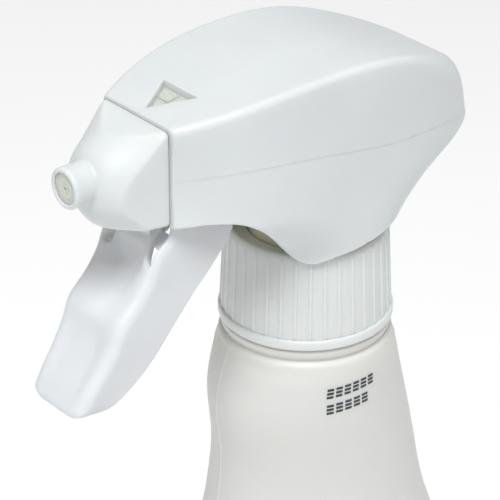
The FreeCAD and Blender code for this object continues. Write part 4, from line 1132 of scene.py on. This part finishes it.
def build_marks():
    """Two rows of plain printed bars on the shoulder, which spell nothing."""
    vertices, faces = [], []
    for middle, count, start, end in MARK_ROWS:
        pitch = (end - start) / count
        for group in range(count):
            left = start + group * pitch
            right = left + pitch * MARK_FILL
            tilt = MARK_TILT * ((left + right) / 2 - (start + end) / 2)
            for level in (-1, 0, 1):
                low = middle + tilt + level * MARK_HEIGHT / 3 - MARK_BAR / 2
                add_bar(left, right, low, vertices, faces)
    piece = new_piece("printed_marks", vertices, faces, INK, sharp_degrees=40)
    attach(piece, "bottle")


# CAD nodes: a material each, and smooth shading

CAD_MATERIALS = {
    "pump_body": NATURAL, "piston": WHITE, "tube_holder": NATURAL, "dip_tube": TUBE,
    "tube_strainer": NATURAL, "swirl_plug": NATURAL, "outlet_valve": NATURAL, "bottle_gasket": RUBBER,
    "piston_seal": RUBBER, "vent_valve": RUBBER, "nozzle_seal": RUBBER, "return_spring": SPRING_STEEL,
    "outlet_spring": SPRING_STEEL, "inlet_ball": BALL_STEEL, "bottle": IVORY, "collar": WHITE_COLLAR,
    "shroud": WHITE, "trigger": WHITE_TRIGGER, "nozzle_cap": WHITE, "orifice_cup": WHITE}


CAD_SHARP_DEGREES = 32


def dress_cad_nodes():
    for node, material in CAD_MATERIALS.items():
        finish_mesh(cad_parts[node].data, material, CAD_SHARP_DEGREES)


# Studio

FLOOR_PALE = (0.955, 0.955, 0.955)
FLOOR_PALER = (0.97, 0.97, 0.97)
FLOOR_HALF = 6.0
FLOOR_SQUARES = 12
FLOOR_HEIGHT = -0.05
WORLD_STRENGTH = 0.42
KEY_PLACE = (0.62, -0.56, 1.86)
KEY_TARGET = (0.0, 0.0, 0.19)
KEY_SIZE = 0.8
KEY_POWER = 34.5


def floor_material():
    material, nodes, links, shader = material_graph("studio_floor")
    broad = noise_node(nodes, links, 3.0, 2.0)
    base = blend_node(nodes, links, broad.outputs["Fac"], FLOOR_PALE, FLOOR_PALER)
    links.new(base.outputs["Color"], shader.inputs["Base Color"])
    shader.inputs["Roughness"].default_value = 0.9
    shader.inputs["Specular IOR Level"].default_value = 0.1
    return material


def build_floor():
    line = np.linspace(-FLOOR_HALF, FLOOR_HALF, FLOOR_SQUARES + 1) / MM
    across = len(line)
    vertices = [(x, y, FLOOR_HEIGHT) for y in line for x in line]
    faces = []
    for row in range(FLOOR_SQUARES):
        for column in range(FLOOR_SQUARES):
            corner = row * across + column
            faces.append((corner, corner + 1, corner + across + 1, corner + across))
    floor = new_piece("studio_floor", vertices, faces, floor_material())


def build_world():
    """Even white light from all round."""
    world = bpy.data.worlds.new("studio")
    bpy.context.scene.world = world
    world.use_nodes = True
    background = world.node_tree.nodes["Background"]
    background.inputs["Color"].default_value = (1.0, 1.0, 1.0, 1)
    background.inputs["Strength"].default_value = WORLD_STRENGTH


def build_key_light():
    """A large round light above and in front of the nozzle's side."""
    data = bpy.data.lights.new("key", "AREA")
    data.shape = "DISK"
    data.size = KEY_SIZE
    data.energy = KEY_POWER
    light = bpy.data.objects.new("key", data)
    bpy.context.scene.collection.objects.link(light)
    light.location = KEY_PLACE
    light.rotation_mode = "QUATERNION"
    light.rotation_quaternion = (Vector(KEY_TARGET) - Vector(KEY_PLACE)).to_track_quat("-Z", "Y")


CAMERA_AZIMUTH = 50.27
CAMERA_ELEVATION = 28.88
CAMERA_DISTANCE = 0.5
CAMERA_AIM = (-0.01097, -0.00482, 0.1777)
CAMERA_LENS = 185.53
SENSOR_WIDTH = 36.0
CLIP_NEAR = 0.05
CLIP_FAR = 50.0


def build_camera():
    data = bpy.data.cameras.new("camera")
    camera = bpy.data.objects.new("camera", data)
    bpy.context.scene.collection.objects.link(camera)
    azimuth = math.radians(CAMERA_AZIMUTH)
    elevation = math.radians(CAMERA_ELEVATION)
    back = Vector((math.sin(azimuth) * math.cos(elevation), -math.cos(azimuth) * math.cos(elevation),
                   math.sin(elevation)))
    camera.location = Vector(CAMERA_AIM) + back * CAMERA_DISTANCE
    camera.rotation_mode = "QUATERNION"
    camera.rotation_quaternion = (-back).to_track_quat("-Z", "Y")
    data.lens = CAMERA_LENS
    data.sensor_width = SENSOR_WIDTH
    data.clip_start = CLIP_NEAR
    data.clip_end = CLIP_FAR
    bpy.context.scene.camera = camera


build_shroud()
build_nozzle()
build_trigger()
build_collar()
build_bottle()
build_marks()
dress_cad_nodes()
build_floor()
build_world()
build_key_light()
build_camera()
bpy.context.scene.view_settings.view_transform = "Standard"
